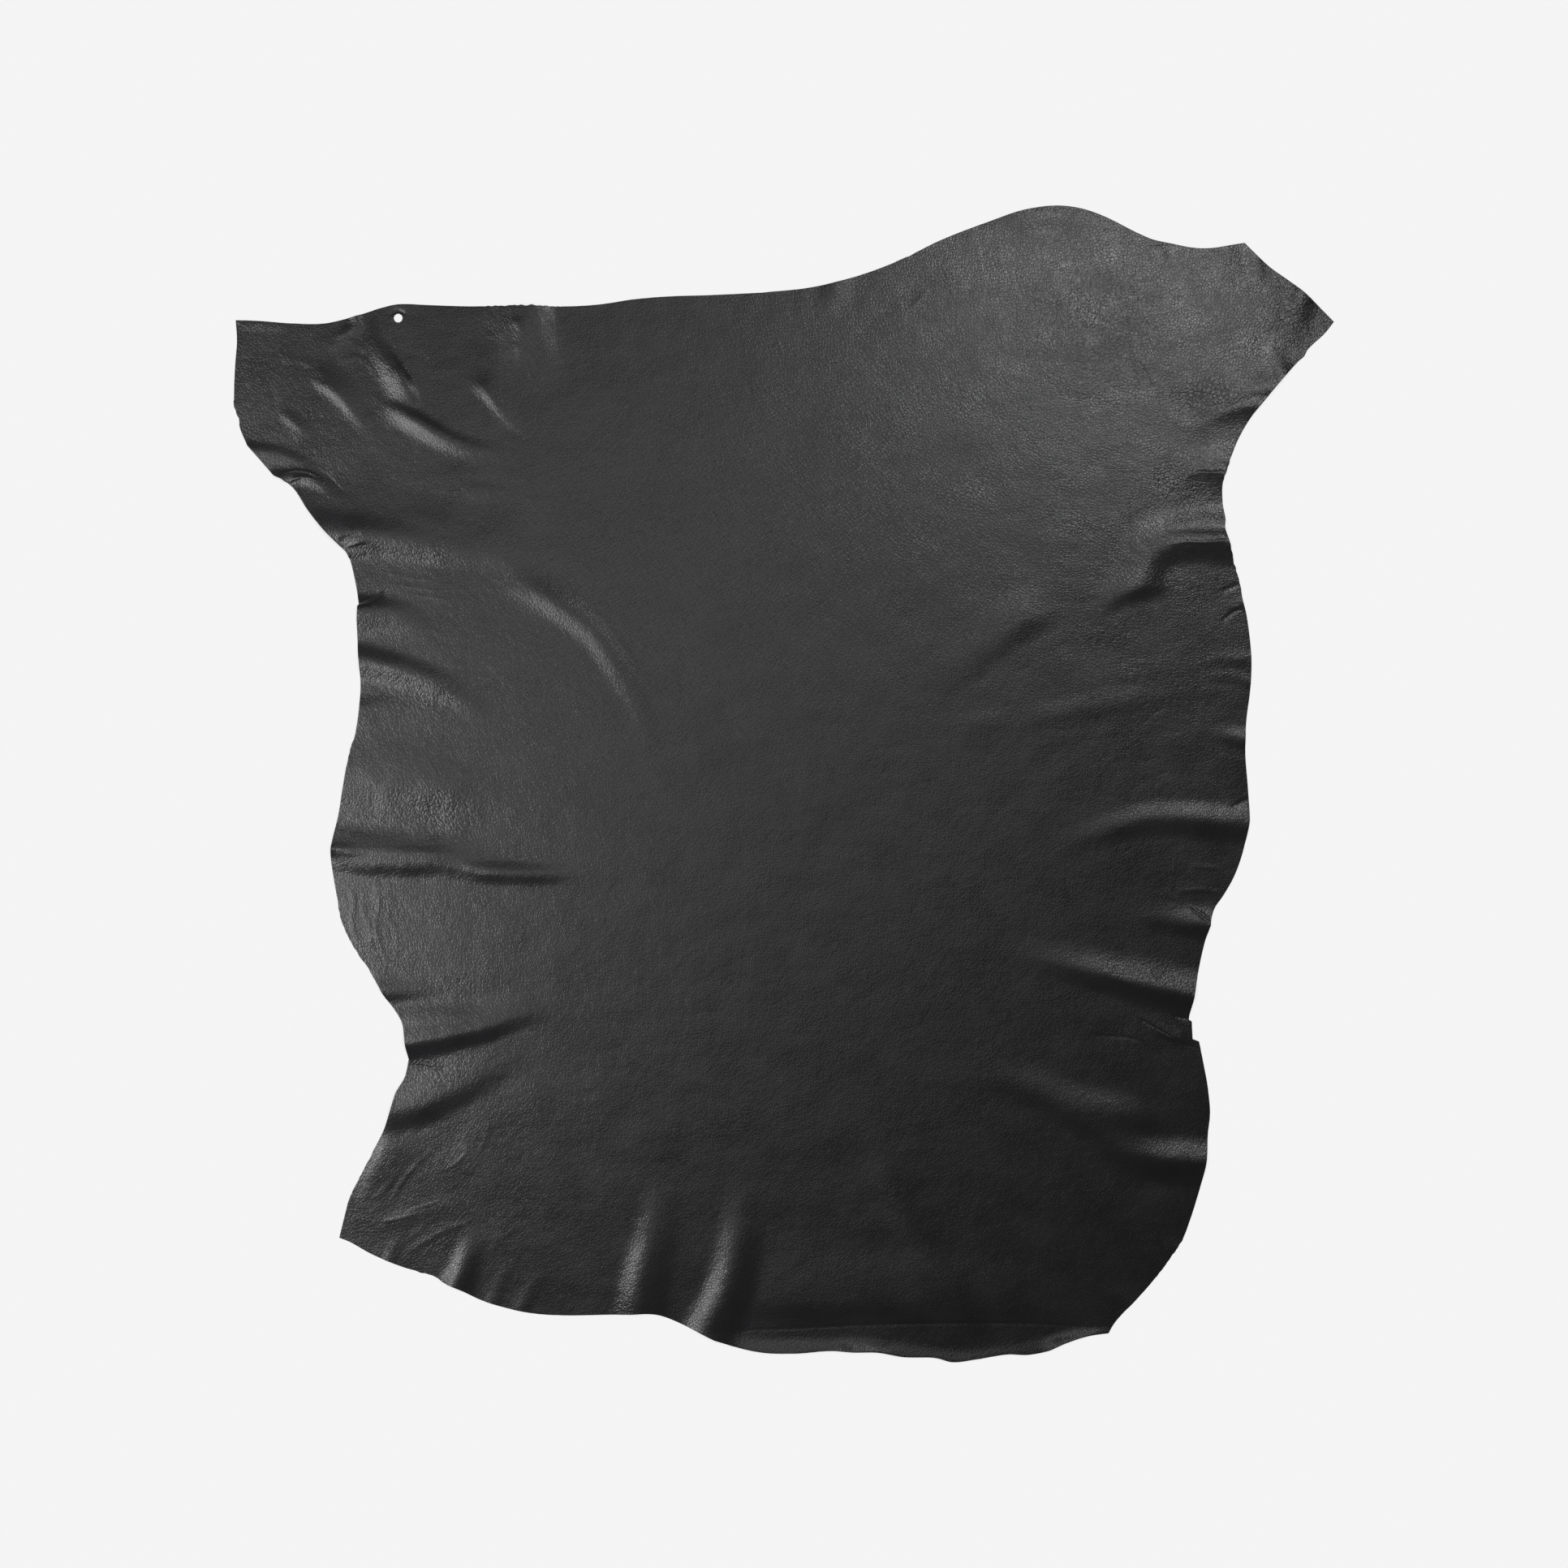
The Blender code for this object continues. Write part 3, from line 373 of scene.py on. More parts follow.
# Fine creases, too small for the solid. Columns: name, height in millimetres (below zero is a trough),
# half its width in drawing units, and its places (across, down).
Crease = namedtuple("Crease", "name height half_width places")
CREASE_ROWS = (
    ("hole, drawn-in rim", -0.8, 4.0, ((481, 389), (487, 385), (493, 384), (500, 388))),
    ("belly lip, crease", -0.3, 4, ((880, 1640), (960, 1637), (1060, 1632), (1160, 1630),
                                   (1260, 1630), (1340, 1634))),
    ("belly lip, left swell", 0.4, 9, ((1030, 1649), (1062, 1652), (1096, 1655))),
    ("belly lip, right swell", 0.35, 7, ((1296, 1644), (1325, 1640), (1356, 1639))),
    ("neck, swell beside the pucker", 0.5, 14, ((290, 398), (320, 399), (352, 402))),
    ("neck, band on the left rise", 0.25, 8, ((1105, 395), (1125, 378), (1145, 355))),
    ("neck, cross mark, long arm", -0.25, 2.2, ((1414, 303), (1428, 301), (1442, 300))),
    ("neck, cross mark, short arm", -0.25, 2.2, ((1430, 298), (1435, 310), (1438, 324))),
    ("neck, pit at the right", -0.5, 2.4, ((1385, 394), (1391, 398))),
    ("neck, pit in the middle", -0.4, 2.4, ((919, 479), (926, 483))),
    ("neck pucker, bright edge", 0.25, 9, ((668, 378), (682, 396), (696, 420))),
    ("left neck, first soft wrinkle", 0.2, 7, ((405, 428), (430, 420), (452, 434))),
    ("left neck, second soft wrinkle", 0.22, 7, ((418, 446), (446, 442), (466, 470))),
    ("left neck, third soft wrinkle", 0.18, 8, ((500, 470), (494, 440), (478, 412))),
    ("left neck, fourth soft wrinkle", 0.14, 9, ((330, 440), (372, 446), (420, 474))),
    ("left neck, fifth soft wrinkle", 0.12, 8, ((610, 418), (630, 400), (654, 392))),
    ("left neck, sixth soft wrinkle", 0.12, 8, ((612, 450), (634, 430), (660, 428))),
    ("left shank, upright soft wrinkle", -0.14, 7, ((332, 468), (338, 492), (336, 512))),
    ("left armpit, upper line", 0.5, 3.2, ((345, 584), (368, 580), (390, 586), (402, 600))),
    ("left armpit, lower line", 0.45, 2.8, ((352, 596), (375, 588), (396, 594))),
    ("left armpit, valley line", -0.25, 3.5, ((398, 582), (410, 592), (425, 608))),
    ("left shoulder roll, nick", -0.7, 6.0, ((418, 668), (432, 662), (448, 658))),
    ("left shoulder roll, nick's lip", 0.5, 4.0, ((424, 677), (438, 671), (454, 667))),
    ("left flank, first scratch", 0.12, 2.5, ((478, 706), (505, 712), (540, 716))),
    ("left flank, second scratch", 0.12, 2.5, ((480, 718), (510, 724), (545, 728))),
    ("left flank, third scratch", 0.12, 2.5, ((500, 730), (530, 736), (560, 740))),
    ("left flank, cut", -1.0, 2.4, ((441, 747), (458, 741), (470, 732), (478, 727))),
    ("left flank, cut's lip", 0.5, 3.0, ((446, 742), (460, 737), (472, 729))),
    ("left belly, first wrinkle", 0.17, 6, ((429, 1088), (437, 1112), (434, 1136), (448, 1172))),
    ("left belly, second wrinkle", 0.12, 5, ((450, 1094), (446, 1118), (456, 1142), (455, 1176))),
    ("left belly, third wrinkle", 0.15, 5, ((460, 1083), (468, 1110), (463, 1140), (478, 1190))),
    ("left belly, fourth wrinkle", 0.09, 6, ((484, 1104), (479, 1130), (489, 1150), (487, 1196))),
    ("left belly, cross wrinkle", 0.10, 7, ((424, 1150), (446, 1158), (470, 1156), (498, 1166))),
    ("left thigh, fine crease", -0.35, 2.5, ((503, 1311), (528, 1315), (555, 1316))),
    ("left hind, hooked crease", 0.18, 4, ((577, 1408), (574, 1420), (563, 1432), (548, 1442))),
    ("left hind, rising crease", 0.20, 6, ((478, 1492), (492, 1462), (512, 1436), (534, 1416))),
    ("left hind, level crease", 0.18, 4, ((500, 1494), (520, 1486), (548, 1478))),
    ("left hind, short crease", 0.20, 4, ((470, 1505), (490, 1501), (515, 1495))),
    ("left hind, first soft wrinkle", 0.15, 6, ((455, 1480), (474, 1466), (490, 1445))),
    ("left hind, second soft wrinkle", 0.17, 7, ((500, 1545), (540, 1520), (585, 1502))),
    ("left hind, third soft wrinkle", 0.12, 6, ((500, 1530), (520, 1512), (545, 1496))),
    ("left hind, fourth soft wrinkle", 0.12, 7, ((600, 1545), (620, 1524), (648, 1508))),
    ("left hind, upright wrinkle", 0.10, 7, ((585, 1425), (600, 1400), (604, 1370))),
    ("back, long faint line", 0.06, 7, ((880, 800), (960, 880), (1040, 960), (1110, 1040))),
    ("back, short faint line", 0.05, 7, ((905, 930), (912, 1000), (925, 1060))),
    ("right shoulder, first sharp crest", 0.35, 3,
     ((1462, 588), (1478, 582), (1494, 583), (1507, 581))),
    ("right shoulder, second sharp crest", 0.35, 3,
     ((1440, 671), (1462, 668), (1485, 669), (1511, 665))),
    ("right shoulder, hairline", -0.14, 2, ((1395, 600), (1392, 650), (1390, 700))),
    ("right shoulder, long hairline", -0.14, 2, ((1393, 430), (1412, 462), (1430, 500), (1440, 545))),
    ("right rib, first scratch", -0.12, 1.8, ((1405, 872), (1420, 862))),
    ("right rib, second scratch", -0.12, 1.8, ((1418, 882), (1434, 872))),
    ("right rib, third scratch", -0.12, 1.8, ((1405, 893), (1418, 885))),
    ("right rib, fourth scratch", -0.12, 1.8, ((1410, 940), (1425, 932))),
    ("right rib, fifth scratch", -0.12, 1.8, ((1425, 956), (1440, 950))),
    ("right flank, upper notch", -0.3, 5, ((1527, 720), (1515, 725), (1503, 729))),
    ("right flank, lower notch", -0.4, 5, ((1532, 749), (1518, 755), (1504, 767))),
    ("right flank, small point", -0.4, 5, ((1539, 983), (1526, 990), (1514, 996))),
    ("right flank, first faint wrinkle", 0.28, 6, ((1505, 1100), (1480, 1096), (1450, 1098))),
    ("right flank, second faint wrinkle", 0.28, 6, ((1500, 1070), (1482, 1068), (1465, 1068))),
    ("right flank, lapped cut", -0.8, 2.2, ((1466, 1118), (1480, 1130), (1491, 1138))),
    ("right flank, cut's lip", 0.5, 2.6, ((1464, 1114), (1480, 1125), (1492, 1133))),
    ("right waist, lapped cut", -1.1, 2.6, ((1404, 1255), (1430, 1270), (1450, 1281), (1471, 1291))),
    ("right waist, small cut", -0.6, 2.0, ((1448, 1252), (1465, 1256))),
    ("right waist, soft line", -0.28, 4, ((1345, 1275), (1400, 1281), (1430, 1302), (1460, 1322))),
)
CREASES = [Crease(*row) for row in CREASE_ROWS]

# Where the grain is coarse. Columns: name, middle (across, down), half widths, strength.
Zone = namedtuple("Zone", "name middle half_across half_down strength")
ZONE_ROWS = (
    ("left shoulder roll", (505, 682), 70, 22, 1.0),
    ("left flank roll", (530, 855), 80, 40, 0.9),
    ("left belly roll", (530, 1000), 110, 40, 0.9),
    ("left thigh", (550, 1312), 60, 40, 0.9),
    ("left thigh, upper", (570, 1215), 40, 30, 0.6),
    ("right waist", (1405, 1195), 70, 26, 0.8),
    ("right fore shank, inner", (1490, 490), 75, 35, 1.0),
    ("right shoulder", (1455, 605), 60, 50, 0.9),
    ("right neck", (1360, 410), 130, 110, 0.7),
    ("right spur", (1590, 385), 60, 70, 0.8),
)
ZONES = [Zone(*row) for row in ZONE_ROWS]


def read_plan():
    """Scale of the plan and the middle of the hide on it, so that its length comes out as stated."""
    rows = [place[1] for _, places in EDGE_STRETCHES for place in places]
    columns = [place[0] for _, places in EDGE_STRETCHES for place in places]
    unit = HIDE_LENGTH / (max(rows) - min(rows))
    middle = ((min(columns) + max(columns)) / 2, (min(rows) + max(rows)) / 2)
    return unit, middle


UNIT, PLAN_MIDDLE = read_plan()


def on_plan(places):
    """Places on the plan (across, down) as an array of x, y in metres."""
    across, down = np.array(places, dtype=float).T
    return np.column_stack(((across - PLAN_MIDDLE[0]) * UNIT, (PLAN_MIDDLE[1] - down) * UNIT))


def smooth_path(points, step):
    """A smooth curve through the points, sampled about every step: a centripetal Catmull-Rom spline."""
    before = 2 * points[0] - points[1]
    after = 2 * points[-1] - points[-2]
    knots = np.vstack((before, points, after))
    samples = [points[0]]
    for i in range(1, len(knots) - 2):
        p0, p1, p2, p3 = knots[i - 1:i + 3]
        t1 = math.sqrt(np.linalg.norm(p1 - p0))
        t2 = t1 + math.sqrt(np.linalg.norm(p2 - p1))
        t3 = t2 + math.sqrt(np.linalg.norm(p3 - p2))
        count = max(1, round(float(np.linalg.norm(p2 - p1)) / step))
        for j in range(1, count + 1):
            t = t1 + (t2 - t1) * j / count
            a1 = p0 + (p1 - p0) * t / t1
            a2 = p1 + (p2 - p1) * (t - t1) / (t2 - t1)
            a3 = p2 + (p3 - p2) * (t - t2) / (t3 - t2)
            b1 = a1 + (a2 - a1) * t / t2
            b2 = a2 + (a3 - a2) * (t - t1) / (t3 - t1)
            samples.append(b1 + (b2 - b1) * (t - t1) / (t2 - t1))
    return np.array(samples)


def edge_loop():
    """The hide's edge as one closed loop of points, clockwise, its corners kept."""
    stretches = [smooth_path(on_plan(places), EDGE_STEP)[:-1] for _, places in EDGE_STRETCHES]
    return np.vstack(stretches)


def hole_loop():
    """The rim of the small hole."""
    middle = on_plan([HOLE_MIDDLE])[0]
    angles = 2 * math.pi * np.arange(HOLE_SIDES) / HOLE_SIDES
    return middle + UNIT * np.column_stack((HOLE_ACROSS * np.cos(angles), HOLE_DOWN * np.sin(angles)))


def nearest_on_path(points, path):
    """For each point: its distance from the path, the share of the path's length at the nearest
    place, and whether it lies to the left of the path there."""
    lengths = np.linalg.norm(np.diff(path, axis=0), axis=1)
    reached = np.concatenate(([0.0], np.cumsum(lengths)))
    best = np.full(len(points), np.inf)
    share = np.zeros(len(points))
    left = np.zeros(len(points), dtype=bool)
    for i, length in enumerate(lengths):
        along = (path[i + 1] - path[i]) / length
        offset = points - path[i]
        t = np.clip(offset @ along, 0.0, length)
        apart = offset - t[:, None] * along
        distance = np.hypot(apart[:, 0], apart[:, 1])
        nearer = distance < best
        best = np.where(nearer, distance, best)
        share = np.where(nearer, (reached[i] + t) / reached[-1], share)
        side = along[0] * offset[:, 1] - along[1] * offset[:, 0] > 0
        left = np.where(nearer, side, left)
    return best, share, left


def crest_path(fold):
    """The fold's crest in metres. One that starts at the edge is carried on past it."""
    points = on_plan(fold.places)
    if fold.at_edge:
        outward = points[0] - points[1]
        beyond = points[0] + outward / np.linalg.norm(outward) * CREST_MARGIN
        points = np.vstack((beyond, points))
    return smooth_path(points, CREST_STEP)


def crest_rise(share, at_edge):
    """How much of its rise a crest has along its length, sinking to nothing at its inner end."""
    sinking = np.clip((share - TAPER_START) / (1 - TAPER_START), 0, 1)
    rise = 0.5 + 0.5 * np.cos(math.pi * sinking)
    if not at_edge:
        growing = np.clip(share / TAPER_START, 0, 1)
        rise = rise * (0.5 - 0.5 * np.cos(math.pi * growing))
    return rise


def slope_profile(share_of_reach, sharpness):
    """Height across a fold, from 1 at the crest to 0 at the foot of its slope."""
    u = np.clip(share_of_reach, 0, 1)
    rounded = 0.5 + 0.5 * np.cos(math.pi * u)
    creased = (1 - u) ** 2
    return (1 - sharpness) * rounded + sharpness * creased


def lift(points):
    """Height of the hide's underside over the surface, the folds' rises added up."""
    height = np.zeros(len(points))
    for fold in FOLDS:
        path = crest_path(fold)
        widest = max(fold.reach_left, fold.reach_right) * UNIT
        low = path.min(axis=0) - widest
        high = path.max(axis=0) + widest
        near = np.all((points > low) & (points < high), axis=1)
        distance, share, left = nearest_on_path(points[near], path)
        reach = np.where(left, fold.reach_left, fold.reach_right) * UNIT * (1 - NARROWING * share)
        profile = slope_profile(distance / reach, fold.sharpness)
        height[near] += fold.rise * MM * crest_rise(share, fold.at_edge) * profile
    return height


def inside(points, loop):
    """Which points lie inside the closed loop."""
    found = np.zeros(len(points), dtype=bool)
    for (x1, y1), (x2, y2) in zip(loop, np.roll(loop, -1, axis=0)):
        if y1 == y2:
            continue
        spans = (y1 > points[:, 1]) != (y2 > points[:, 1])
        crossing = x1 + (points[:, 1] - y1) * (x2 - x1) / (y2 - y1)
        found ^= spans & (points[:, 0] < crossing)
    return found


def triangulate(edge, hole, inner):
    """The hide's plan as points and triangles, wound the same way round."""
    points = np.vstack((edge, hole, inner))
    loops = []
    for first, count in ((0, len(edge)), (len(edge), len(hole))):
        loops += [(first + i, first + (i + 1) % count) for i in range(count)]
    flat = [Vector(point) for point in points.tolist()]
    corners, _, triangles, _, _, _ = delaunay_2d_cdt(flat, loops, [], 0, MERGE_DISTANCE)
    corners = np.array([tuple(corner) for corner in corners])
    triangles = np.array([tuple(triangle) for triangle in triangles])
    middles = corners[triangles].mean(axis=1)
    triangles = triangles[inside(middles, edge) & ~inside(middles, hole)]
    a, b, c = (corners[triangles[:, k]] for k in range(3))
    turn = (b[:, 0] - a[:, 0]) * (c[:, 1] - a[:, 1]) - (b[:, 1] - a[:, 1]) * (c[:, 0] - a[:, 0])
    triangles[turn < 0] = triangles[turn < 0][:, ::-1]
    return corners, triangles


def steepness(points):
    """Length of the slope for each unit of plan, which keeps the leather's thickness on a slope."""
    slopes = []
    for step in ((SLOPE_STEP, 0), (0, SLOPE_STEP)):
        slopes.append((lift(points + step) - lift(points - step)) / (2 * SLOPE_STEP))
    return np.sqrt(1 + slopes[0] ** 2 + slopes[1] ** 2)


def leather_side(rim):
    """Unit vectors along the plan that point onto the leather, one at each point of a rim. The hide's
    edge runs clockwise and the hole's rim the other way round, so it is the right-hand side of both."""
    along = np.roll(rim, -1, axis=0) - np.roll(rim, 1, axis=0)
    along /= np.linalg.norm(along, axis=1)[:, None]
    return np.column_stack((along[:, 1], -along[:, 0]))


def ragged(rim):
    """The rim with the unevenness of a cut edge, rougher in the places of the table."""
    size = np.full(len(rim), CUT_UNEVENNESS)
    for place in RAGGED_PLACES:
        apart = np.linalg.norm(rim - on_plan([place.middle])[0], axis=1)
        size = np.where(apart < place.reach * UNIT, place.size * MM, size)
    wobble = np.array([noise.noise((x * RAGGED_SCALE, y * RAGGED_SCALE, RAGGED_SEED))
                       for x, y in rim.tolist()])
    return rim + (size * wobble)[:, None] * leather_side(rim)


def far_from(points, others, distance):
    """The points that are farther than the distance from all the others."""
    tree = kdtree.KDTree(len(others))
    for i, (x, y) in enumerate(others.tolist()):
        tree.insert((x, y, 0.0), i)
    tree.balance()
    apart = np.array([tree.find((x, y, 0.0))[2] for x, y in points.tolist()])
    return points[apart > distance]


def on_leather(points, rims, margin):
    """The points that lie on the leather, clear of its rims by the margin."""
    edge, hole = rims
    return far_from(points[inside(points, edge) & ~inside(points, hole)], np.vstack(rims), margin)


def grid_points(step, rims):
    """Points in a triangular pattern all over the leather."""
    low = rims[0].min(axis=0)
    high = rims[0].max(axis=0)
    row_step = step * TRIANGLE_HEIGHT
    rows = []
    for j in range(int((high[1] - low[1]) / row_step) + 1):
        across = np.arange(low[0] + (j % 2) * step / 2, high[0], step)
        rows.append(np.column_stack((across, np.full(len(across), low[1] + j * row_step))))
    return on_leather(np.vstack(rows), rims, step / 2)


def crease_points(rims):
    """Rows of points along the fine creases, close enough together for their width."""
    found = []
    for crease in CREASES:
        path = smooth_path(on_plan(crease.places), CREASE_POINT_GAP)
        along = np.gradient(path, axis=0)
        along /= np.linalg.norm(along, axis=1)[:, None]
        across = np.column_stack((-along[:, 1], along[:, 0]))
        reach = crease.half_width * UNIT
        rows = math.ceil(reach / CREASE_ROW_GAP)
        for k in range(-rows, rows + 1):
            found.append(path + k / rows * reach * across)
    return on_leather(np.vstack(found), rims, CREASE_ROW_GAP)


def crease_relief(points):
    """Height that the fine creases add to the grain side."""
    height = np.zeros(len(points))
    for crease in CREASES:
        path = smooth_path(on_plan(crease.places), CREASE_POINT_GAP)
        reach = crease.half_width * UNIT
        near = np.all((points > path.min(axis=0) - reach) & (points < path.max(axis=0) + reach), axis=1)
        distance, share, _ = nearest_on_path(points[near], path)
        along = np.sqrt(np.sin(math.pi * np.clip(share, 0, 1)))
        height[near] += crease.height * MM * along * slope_profile(distance / reach, CREASE_SHARPNESS)
    return height


def skin_unevenness(points):
    """The gentle unevenness of the skin: soft waves, longer across the hide than along it, and
    higher where the skin is loose and its grain coarse."""
    height = np.zeros(len(points))
    for wave in WAVES:
        height += wave.height * MM * np.array([
            noise.noise((x * wave.scale_across, y * wave.scale_along, wave.seed))
            for x, y in points.tolist()])
    return height * (CALMEST + (LOOSEST - CALMEST) * coarse_grain(points))


def grain_side_height(points):
    """Height of the grain side over the surface that the hide lies on."""
    folded = lift(points) + THICKNESS * steepness(points)
    return folded + crease_relief(points) + skin_unevenness(points)


def coarse_grain(points):
    """How coarse the grain is at each point, from 0 to 1."""
    strength = np.zeros(len(points))
    for zone in ZONES:
        middle = on_plan([zone.middle])[0]
        offset = (points - middle) / (UNIT * np.array((zone.half_across, zone.half_down)))
        fade = np.clip(ZONE_REACH - np.hypot(offset[:, 0], offset[:, 1]), 0, 1)
        strength = np.maximum(strength, zone.strength * fade * fade * (3 - 2 * fade))
    return strength


def build_hide(materials):
    """The hide as one closed sheet: grain side, cut edge and flesh side."""
    rims = [ragged(edge_loop()), hole_loop()]
    rings = [[rim + inset * leather_side(rim) for rim in rims] for inset, _ in EDGE_RINGS]
    creases = crease_points(rings[0])
    between = far_from(grid_points(GRAIN_SIDE_STEP, rings[0]), creases, GRAIN_SIDE_STEP / 2)
    top, top_faces = triangulate(*rings[0], np.vstack((creases, between)))
    under, under_faces = triangulate(*rings[-1], grid_points(FLESH_SIDE_STEP, rings[-1]))
    places = [np.column_stack((top, grain_side_height(top)))]
    high = grain_side_height(np.vstack(rings[0]))
    low = lift(np.vstack(rings[-1]))
    for (_, depth), ring in zip(EDGE_RINGS[1:-1], rings[1:-1]):
        places.append(np.column_stack((np.vstack(ring), high + (low - high) * depth)))
    places.append(np.column_stack((under, lift(under))))
    starts = np.cumsum([0] + [len(group) for group in places[:-1]])
    faces = top_faces.tolist()
    slots = [GRAIN_SLOT] * len(faces)
    sides = []
    for first, size in ((0, len(rims[0])), (len(rims[0]), len(rims[1]))):
        sides += [(first + i, first + (i + 1) % size) for i in range(size)]
    for upper, lower in zip(starts[:-1].tolist(), starts[1:].tolist()):
        for a, b in sides:
            faces.append((upper + a, upper + b, lower + b, lower + a))
            slots.append(GRAIN_SLOT if upper == 0 else EDGE_SLOT)
    faces += (under_faces[:, ::-1] + starts[-1]).tolist()
    slots += [FLESH_SLOT] * len(under_faces)
    mesh = bpy.data.meshes.new("hide_leather")
    mesh.from_pydata(np.vstack(places).tolist(), [], faces)
    for material in materials:
        mesh.materials.append(material)
    mesh.polygons.foreach_set("material_index", slots)
    mesh.shade_smooth()
    coarse = mesh.attributes.new("coarse_grain", "FLOAT", "POINT")
    coarse.data.foreach_set("value", coarse_grain(np.vstack(places)[:, :2]))
    hide = bpy.data.objects.new("hide_leather", mesh)
    bpy.context.scene.collection.objects.link(hide)
    return hide


def add_node(tree, kind, values=None, **settings):
    """Adds a shader node. Each of its values is a number, a colour or another node's output."""
    node = tree.nodes.new(kind)
    for name, setting in settings.items():
        setattr(node, name, setting)
    for name, value in (values or {}).items():
        if isinstance(value, bpy.types.NodeSocket):
            tree.links.new(value, node.inputs[name])
        else:
            node.inputs[name].default_value = value
    return node


def new_material(name):
    """A material with a Principled shader, as its node tree and that shader."""
    material = bpy.data.materials.new(name)
    material.use_nodes = True
    return material, material.node_tree, material.node_tree.nodes["Principled BSDF"]


def math_node(tree, operation, first, second, third=0.0):
    """The result of a product, sum or other operation on the values."""
    values = {0: first, 1: second, 2: third}
    return add_node(tree, "ShaderNodeMath", values, operation=operation).outputs[0]


def remap(tree, value, low, high, new_low, new_high):
    """The value, mapped from one range to another and held inside it."""
    values = {"Value": value, "From Min": low, "From Max": high, "To Min": new_low, "To Max": new_high}
    return add_node(tree, "ShaderNodeMapRange", values).outputs[0]


def pebbles(tree, place, scale, valley):
    """The pebbles of a leather grain, from 0 in the valleys between them to 1 on top."""
    cells = add_node(tree, "ShaderNodeTexVoronoi", {"Vector": place, "Scale": scale},
                     feature="DISTANCE_TO_EDGE").outputs["Distance"]
    return remap(tree, cells, 0.0, valley, 0.0, 1.0)


def cloud(tree, place, scale, detail):
    """Soft noise around 0.5, with that many finer layers."""
    return add_node(tree, "ShaderNodeTexNoise",
                    {"Vector": place, "Scale": scale, "Detail": detail}).outputs["Fac"]


def total(tree, parts):
    """The sum of values, each with its weight."""
    found = 0.0
    for value, weight in parts:
        found = math_node(tree, "MULTIPLY_ADD", value, weight, found)
    return found


def grain_material():
    """Smooth black full-grain leather with a soft gloss: fine pebbles, coarser where the mesh says
    so, small dents, and a finish that is cloudy and a little streaked across the hide."""
    material, tree, shader = new_material("black grain leather")
    place = add_node(tree, "ShaderNodeTexCoord").outputs["Object"]
    shift = add_node(tree, "ShaderNodeTexNoise",
                     {"Vector": place, "Scale": WARP_SCALE, "Detail": FINE_LAYERS}).outputs["Color"]
    shift = add_node(tree, "ShaderNodeVectorMath", {0: shift, 1: HALF},
                     operation="SUBTRACT").outputs[0]
    shift = add_node(tree, "ShaderNodeVectorMath", {0: shift, "Scale": WARP_SIZE},
                     operation="SCALE").outputs[0]
    warped = add_node(tree, "ShaderNodeVectorMath", {0: place, 1: shift}).outputs[0]
    zone = add_node(tree, "ShaderNodeAttribute", attribute_name="coarse_grain").outputs["Fac"]
    small = pebbles(tree, warped, FINE_PEBBLES, PEBBLE_VALLEY)
    large = math_node(tree, "MULTIPLY", pebbles(tree, warped, COARSE_PEBBLES, PEBBLE_VALLEY), zone)
    dents = cloud(tree, place, DENT_SCALE, FINE_LAYERS)
    height = total(tree, ((small, FINE_WEIGHT), (large, COARSE_WEIGHT), (dents, DENT_WEIGHT)))
    bump = add_node(tree, "ShaderNodeBump",
                    {"Height": height, "Strength": GRAIN_STRENGTH, "Distance": PEBBLE_HEIGHT})
    tree.links.new(bump.outputs[0], shader.inputs["Normal"])
    stretched = add_node(tree, "ShaderNodeVectorMath", {0: place, 1: STREAK_STRETCH},
                         operation="MULTIPLY").outputs[0]
    finish = total(tree, ((cloud(tree, place, CLOUD_SCALE, CLOUD_LAYERS), EVEN_SHARE),
                          (cloud(tree, stretched, CLOUD_SCALE, CLOUD_LAYERS), 1 - EVEN_SHARE)))
    tree.links.new(remap(tree, finish, *CLOUD_RANGE, *GRAIN_ROUGHNESS), shader.inputs["Roughness"])
    elsewhere = add_node(tree, "ShaderNodeVectorMath", {0: place, 1: DYE_SHIFT}).outputs[0]
    dye = remap(tree, cloud(tree, elsewhere, DYE_SCALE, CLOUD_LAYERS), *CLOUD_RANGE, 0.0, 1.0)
    tone = add_node(tree, "ShaderNodeMixRGB", {"Fac": dye, "Color1": DEEP_BLACK, "Color2": PALE_BLACK})
    tree.links.new(tone.outputs[0], shader.inputs["Base Color"])
    return material


def edge_material():
    """The cut edge: dyed through, dull and slightly fibrous."""
    material, tree, shader = new_material("cut leather edge")
    place = add_node(tree, "ShaderNodeTexCoord").outputs["Object"]
    fibres = add_node(tree, "ShaderNodeTexNoise",
                      {"Vector": place, "Scale": FIBRE_SCALE, "Detail": FIBRE_LAYERS}).outputs["Fac"]
    bump = add_node(tree, "ShaderNodeBump",
                    {"Height": fibres, "Strength": FIBRE_STRENGTH, "Distance": FIBRE_HEIGHT})
    tree.links.new(bump.outputs[0], shader.inputs["Normal"])
    shader.inputs["Base Color"].default_value = EDGE_COLOUR
    shader.inputs["Roughness"].default_value = EDGE_ROUGHNESS
    return material


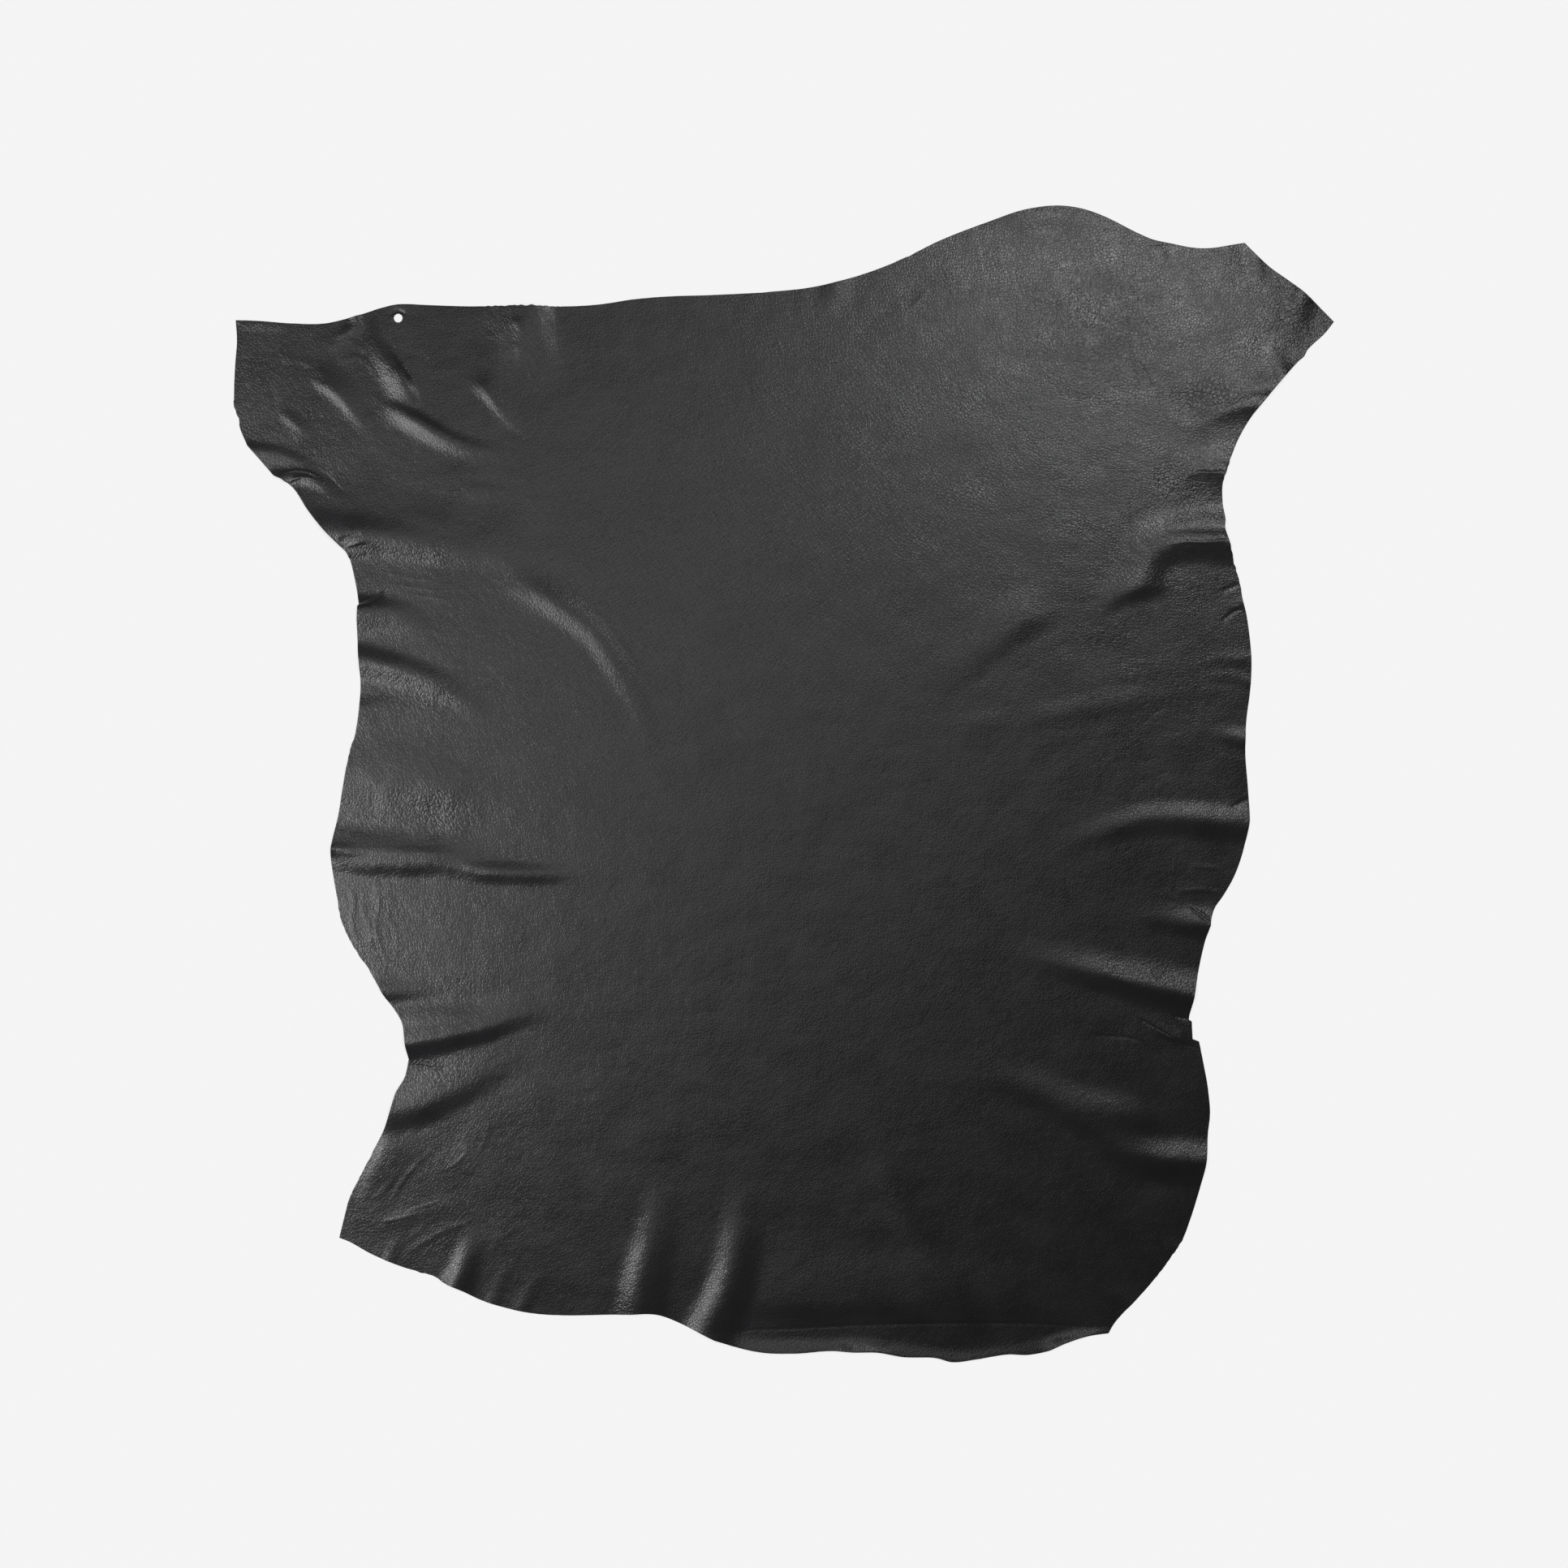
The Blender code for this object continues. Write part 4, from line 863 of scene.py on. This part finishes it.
def flesh_material():
    """The flesh side: dark grey and napped like suede."""
    material, tree, shader = new_material("suede flesh side")
    place = add_node(tree, "ShaderNodeTexCoord").outputs["Object"]
    nap = add_node(tree, "ShaderNodeTexNoise",
                   {"Vector": place, "Scale": NAP_SCALE, "Detail": NAP_LAYERS}).outputs["Fac"]
    bump = add_node(tree, "ShaderNodeBump",
                    {"Height": nap, "Strength": NAP_STRENGTH, "Distance": NAP_HEIGHT})
    tree.links.new(bump.outputs[0], shader.inputs["Normal"])
    tone = add_node(tree, "ShaderNodeTexNoise",
                    {"Vector": place, "Scale": FLESH_CLOUD_SCALE,
                     "Detail": FLESH_CLOUD_LAYERS}).outputs["Fac"]
    ramp = add_node(tree, "ShaderNodeValToRGB", {"Fac": tone})
    for stop, colour in zip(ramp.color_ramp.elements, FLESH_COLOURS):
        stop.color = colour
    tree.links.new(ramp.outputs[0], shader.inputs["Base Color"])
    shader.inputs["Roughness"].default_value = FLESH_ROUGHNESS
    return material


# The studio
CAMERA_HEIGHT = 3.19
LENS_LENGTH = 85.0              # in millimetres, as the next line
SENSOR_WIDTH = 36.0
PHOTO_MIDDLE = (966, 966)       # on the plan, in drawing units
FLOOR_GREY = 0.887              # of the background where the camera sees past the floor
FLOOR_SIDE = 80.0
FLOOR_DEPTH = 0.0004            # of the floor under the hide, so that the two never touch
FLOOR_COLOUR = (0.80, 0.80, 0.80, 1.0)
WHITE = (1.0, 1.0, 1.0, 1.0)
FLOOR_SUN_ANGLE = math.radians(60)
FLOOR_SUN = 1.05                # strength of the light that falls on the floor alone
FLOOR_GLOW = 0.60               # of the floor's own, so that the hide's shadow on it stays faint
WORLD_STRENGTH = 0.05
AreaLight = namedtuple("AreaLight", "name place target width height power")
LIGHT_ROWS = (
    ("soft light, left", (-0.74, -0.22, 0.94), (0.0, 0.0, 0.0), 0.30, 0.40, 4.3),
    ("soft light, far left", (-0.95, 0.15, 0.96), (0.0, 0.0, 0.0), 0.35, 0.45, 5.2),
    ("soft light, upper right", (0.44, 0.62, 1.12), (0.1, 0.2, 0.0), 0.30, 0.32, 3.0),
    ("large soft light overhead", (-0.11, 0.30, 2.10), (0.0, 0.2, 0.0), 1.65, 0.80, 4.8),
)
LIGHTS = [AreaLight(*row) for row in LIGHT_ROWS]


def light_only(light, thing):
    """The light falls on that thing alone."""
    group = bpy.data.collections.new("lit by " + light.name)
    group.objects.link(thing)
    light.light_linking.receiver_collection = group


def build_lights(hide, floor):
    """Soft area lights on the leather, and one broad soft light that keeps the floor evenly pale."""
    for row in LIGHTS:
        lamp = bpy.data.lights.new(row.name, "AREA")
        lamp.shape = "RECTANGLE"
        lamp.size = row.width
        lamp.size_y = row.height
        lamp.energy = row.power
        light = bpy.data.objects.new(row.name, lamp)
        light.location = row.place
        toward = Vector(row.target) - Vector(row.place)
        light.rotation_euler = toward.to_track_quat("-Z", "Y").to_euler()
        light.visible_camera = False
        bpy.context.scene.collection.objects.link(light)
        light_only(light, hide)
    sun = bpy.data.lights.new("floor light", "SUN")
    sun.angle = FLOOR_SUN_ANGLE
    sun.energy = FLOOR_SUN
    light = bpy.data.objects.new("floor light", sun)
    bpy.context.scene.collection.objects.link(light)
    light_only(light, floor)


def build_world():
    """A dim room for the leather to reflect, pale where the camera sees past the floor."""
    world = bpy.data.worlds.new("studio")
    bpy.context.scene.world = world
    world.use_nodes = True
    tree = world.node_tree
    background = tree.nodes["Background"]
    background.inputs["Color"].default_value = WHITE
    seen = add_node(tree, "ShaderNodeLightPath").outputs["Is Camera Ray"]
    strength = remap(tree, seen, 0.0, 1.0, WORLD_STRENGTH, FLOOR_GREY)
    tree.links.new(strength, background.inputs["Strength"])


def build_floor():
    """A plain pale floor under the hide."""
    bpy.ops.mesh.primitive_plane_add(size=FLOOR_SIDE, location=(0.0, 0.0, -FLOOR_DEPTH))
    floor = bpy.context.object
    floor.name = "floor"
    material, _, shader = new_material("pale floor")
    shader.inputs["Base Color"].default_value = FLOOR_COLOUR
    shader.inputs["Roughness"].default_value = 1.0
    shader.inputs["Specular IOR Level"].default_value = 0.0
    shader.inputs["Emission Color"].default_value = WHITE
    shader.inputs["Emission Strength"].default_value = FLOOR_GLOW
    floor.data.materials.append(material)
    return floor


def build_camera():
    """Straight above, with the photo's frame."""
    lens = bpy.data.cameras.new("camera")
    lens.lens = LENS_LENGTH
    lens.sensor_width = SENSOR_WIDTH
    camera = bpy.data.objects.new("camera", lens)
    middle = on_plan([PHOTO_MIDDLE])[0]
    camera.location = (middle[0], middle[1], CAMERA_HEIGHT)
    bpy.context.scene.collection.objects.link(camera)
    bpy.context.scene.camera = camera


def main():
    bpy.context.scene.view_settings.view_transform = "Standard"
    hide = build_hide([grain_material(), edge_material(), flesh_material()])
    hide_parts("hide")
    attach(hide, "root")
    floor = build_floor()
    build_lights(hide, floor)
    build_world()
    build_camera()


main()
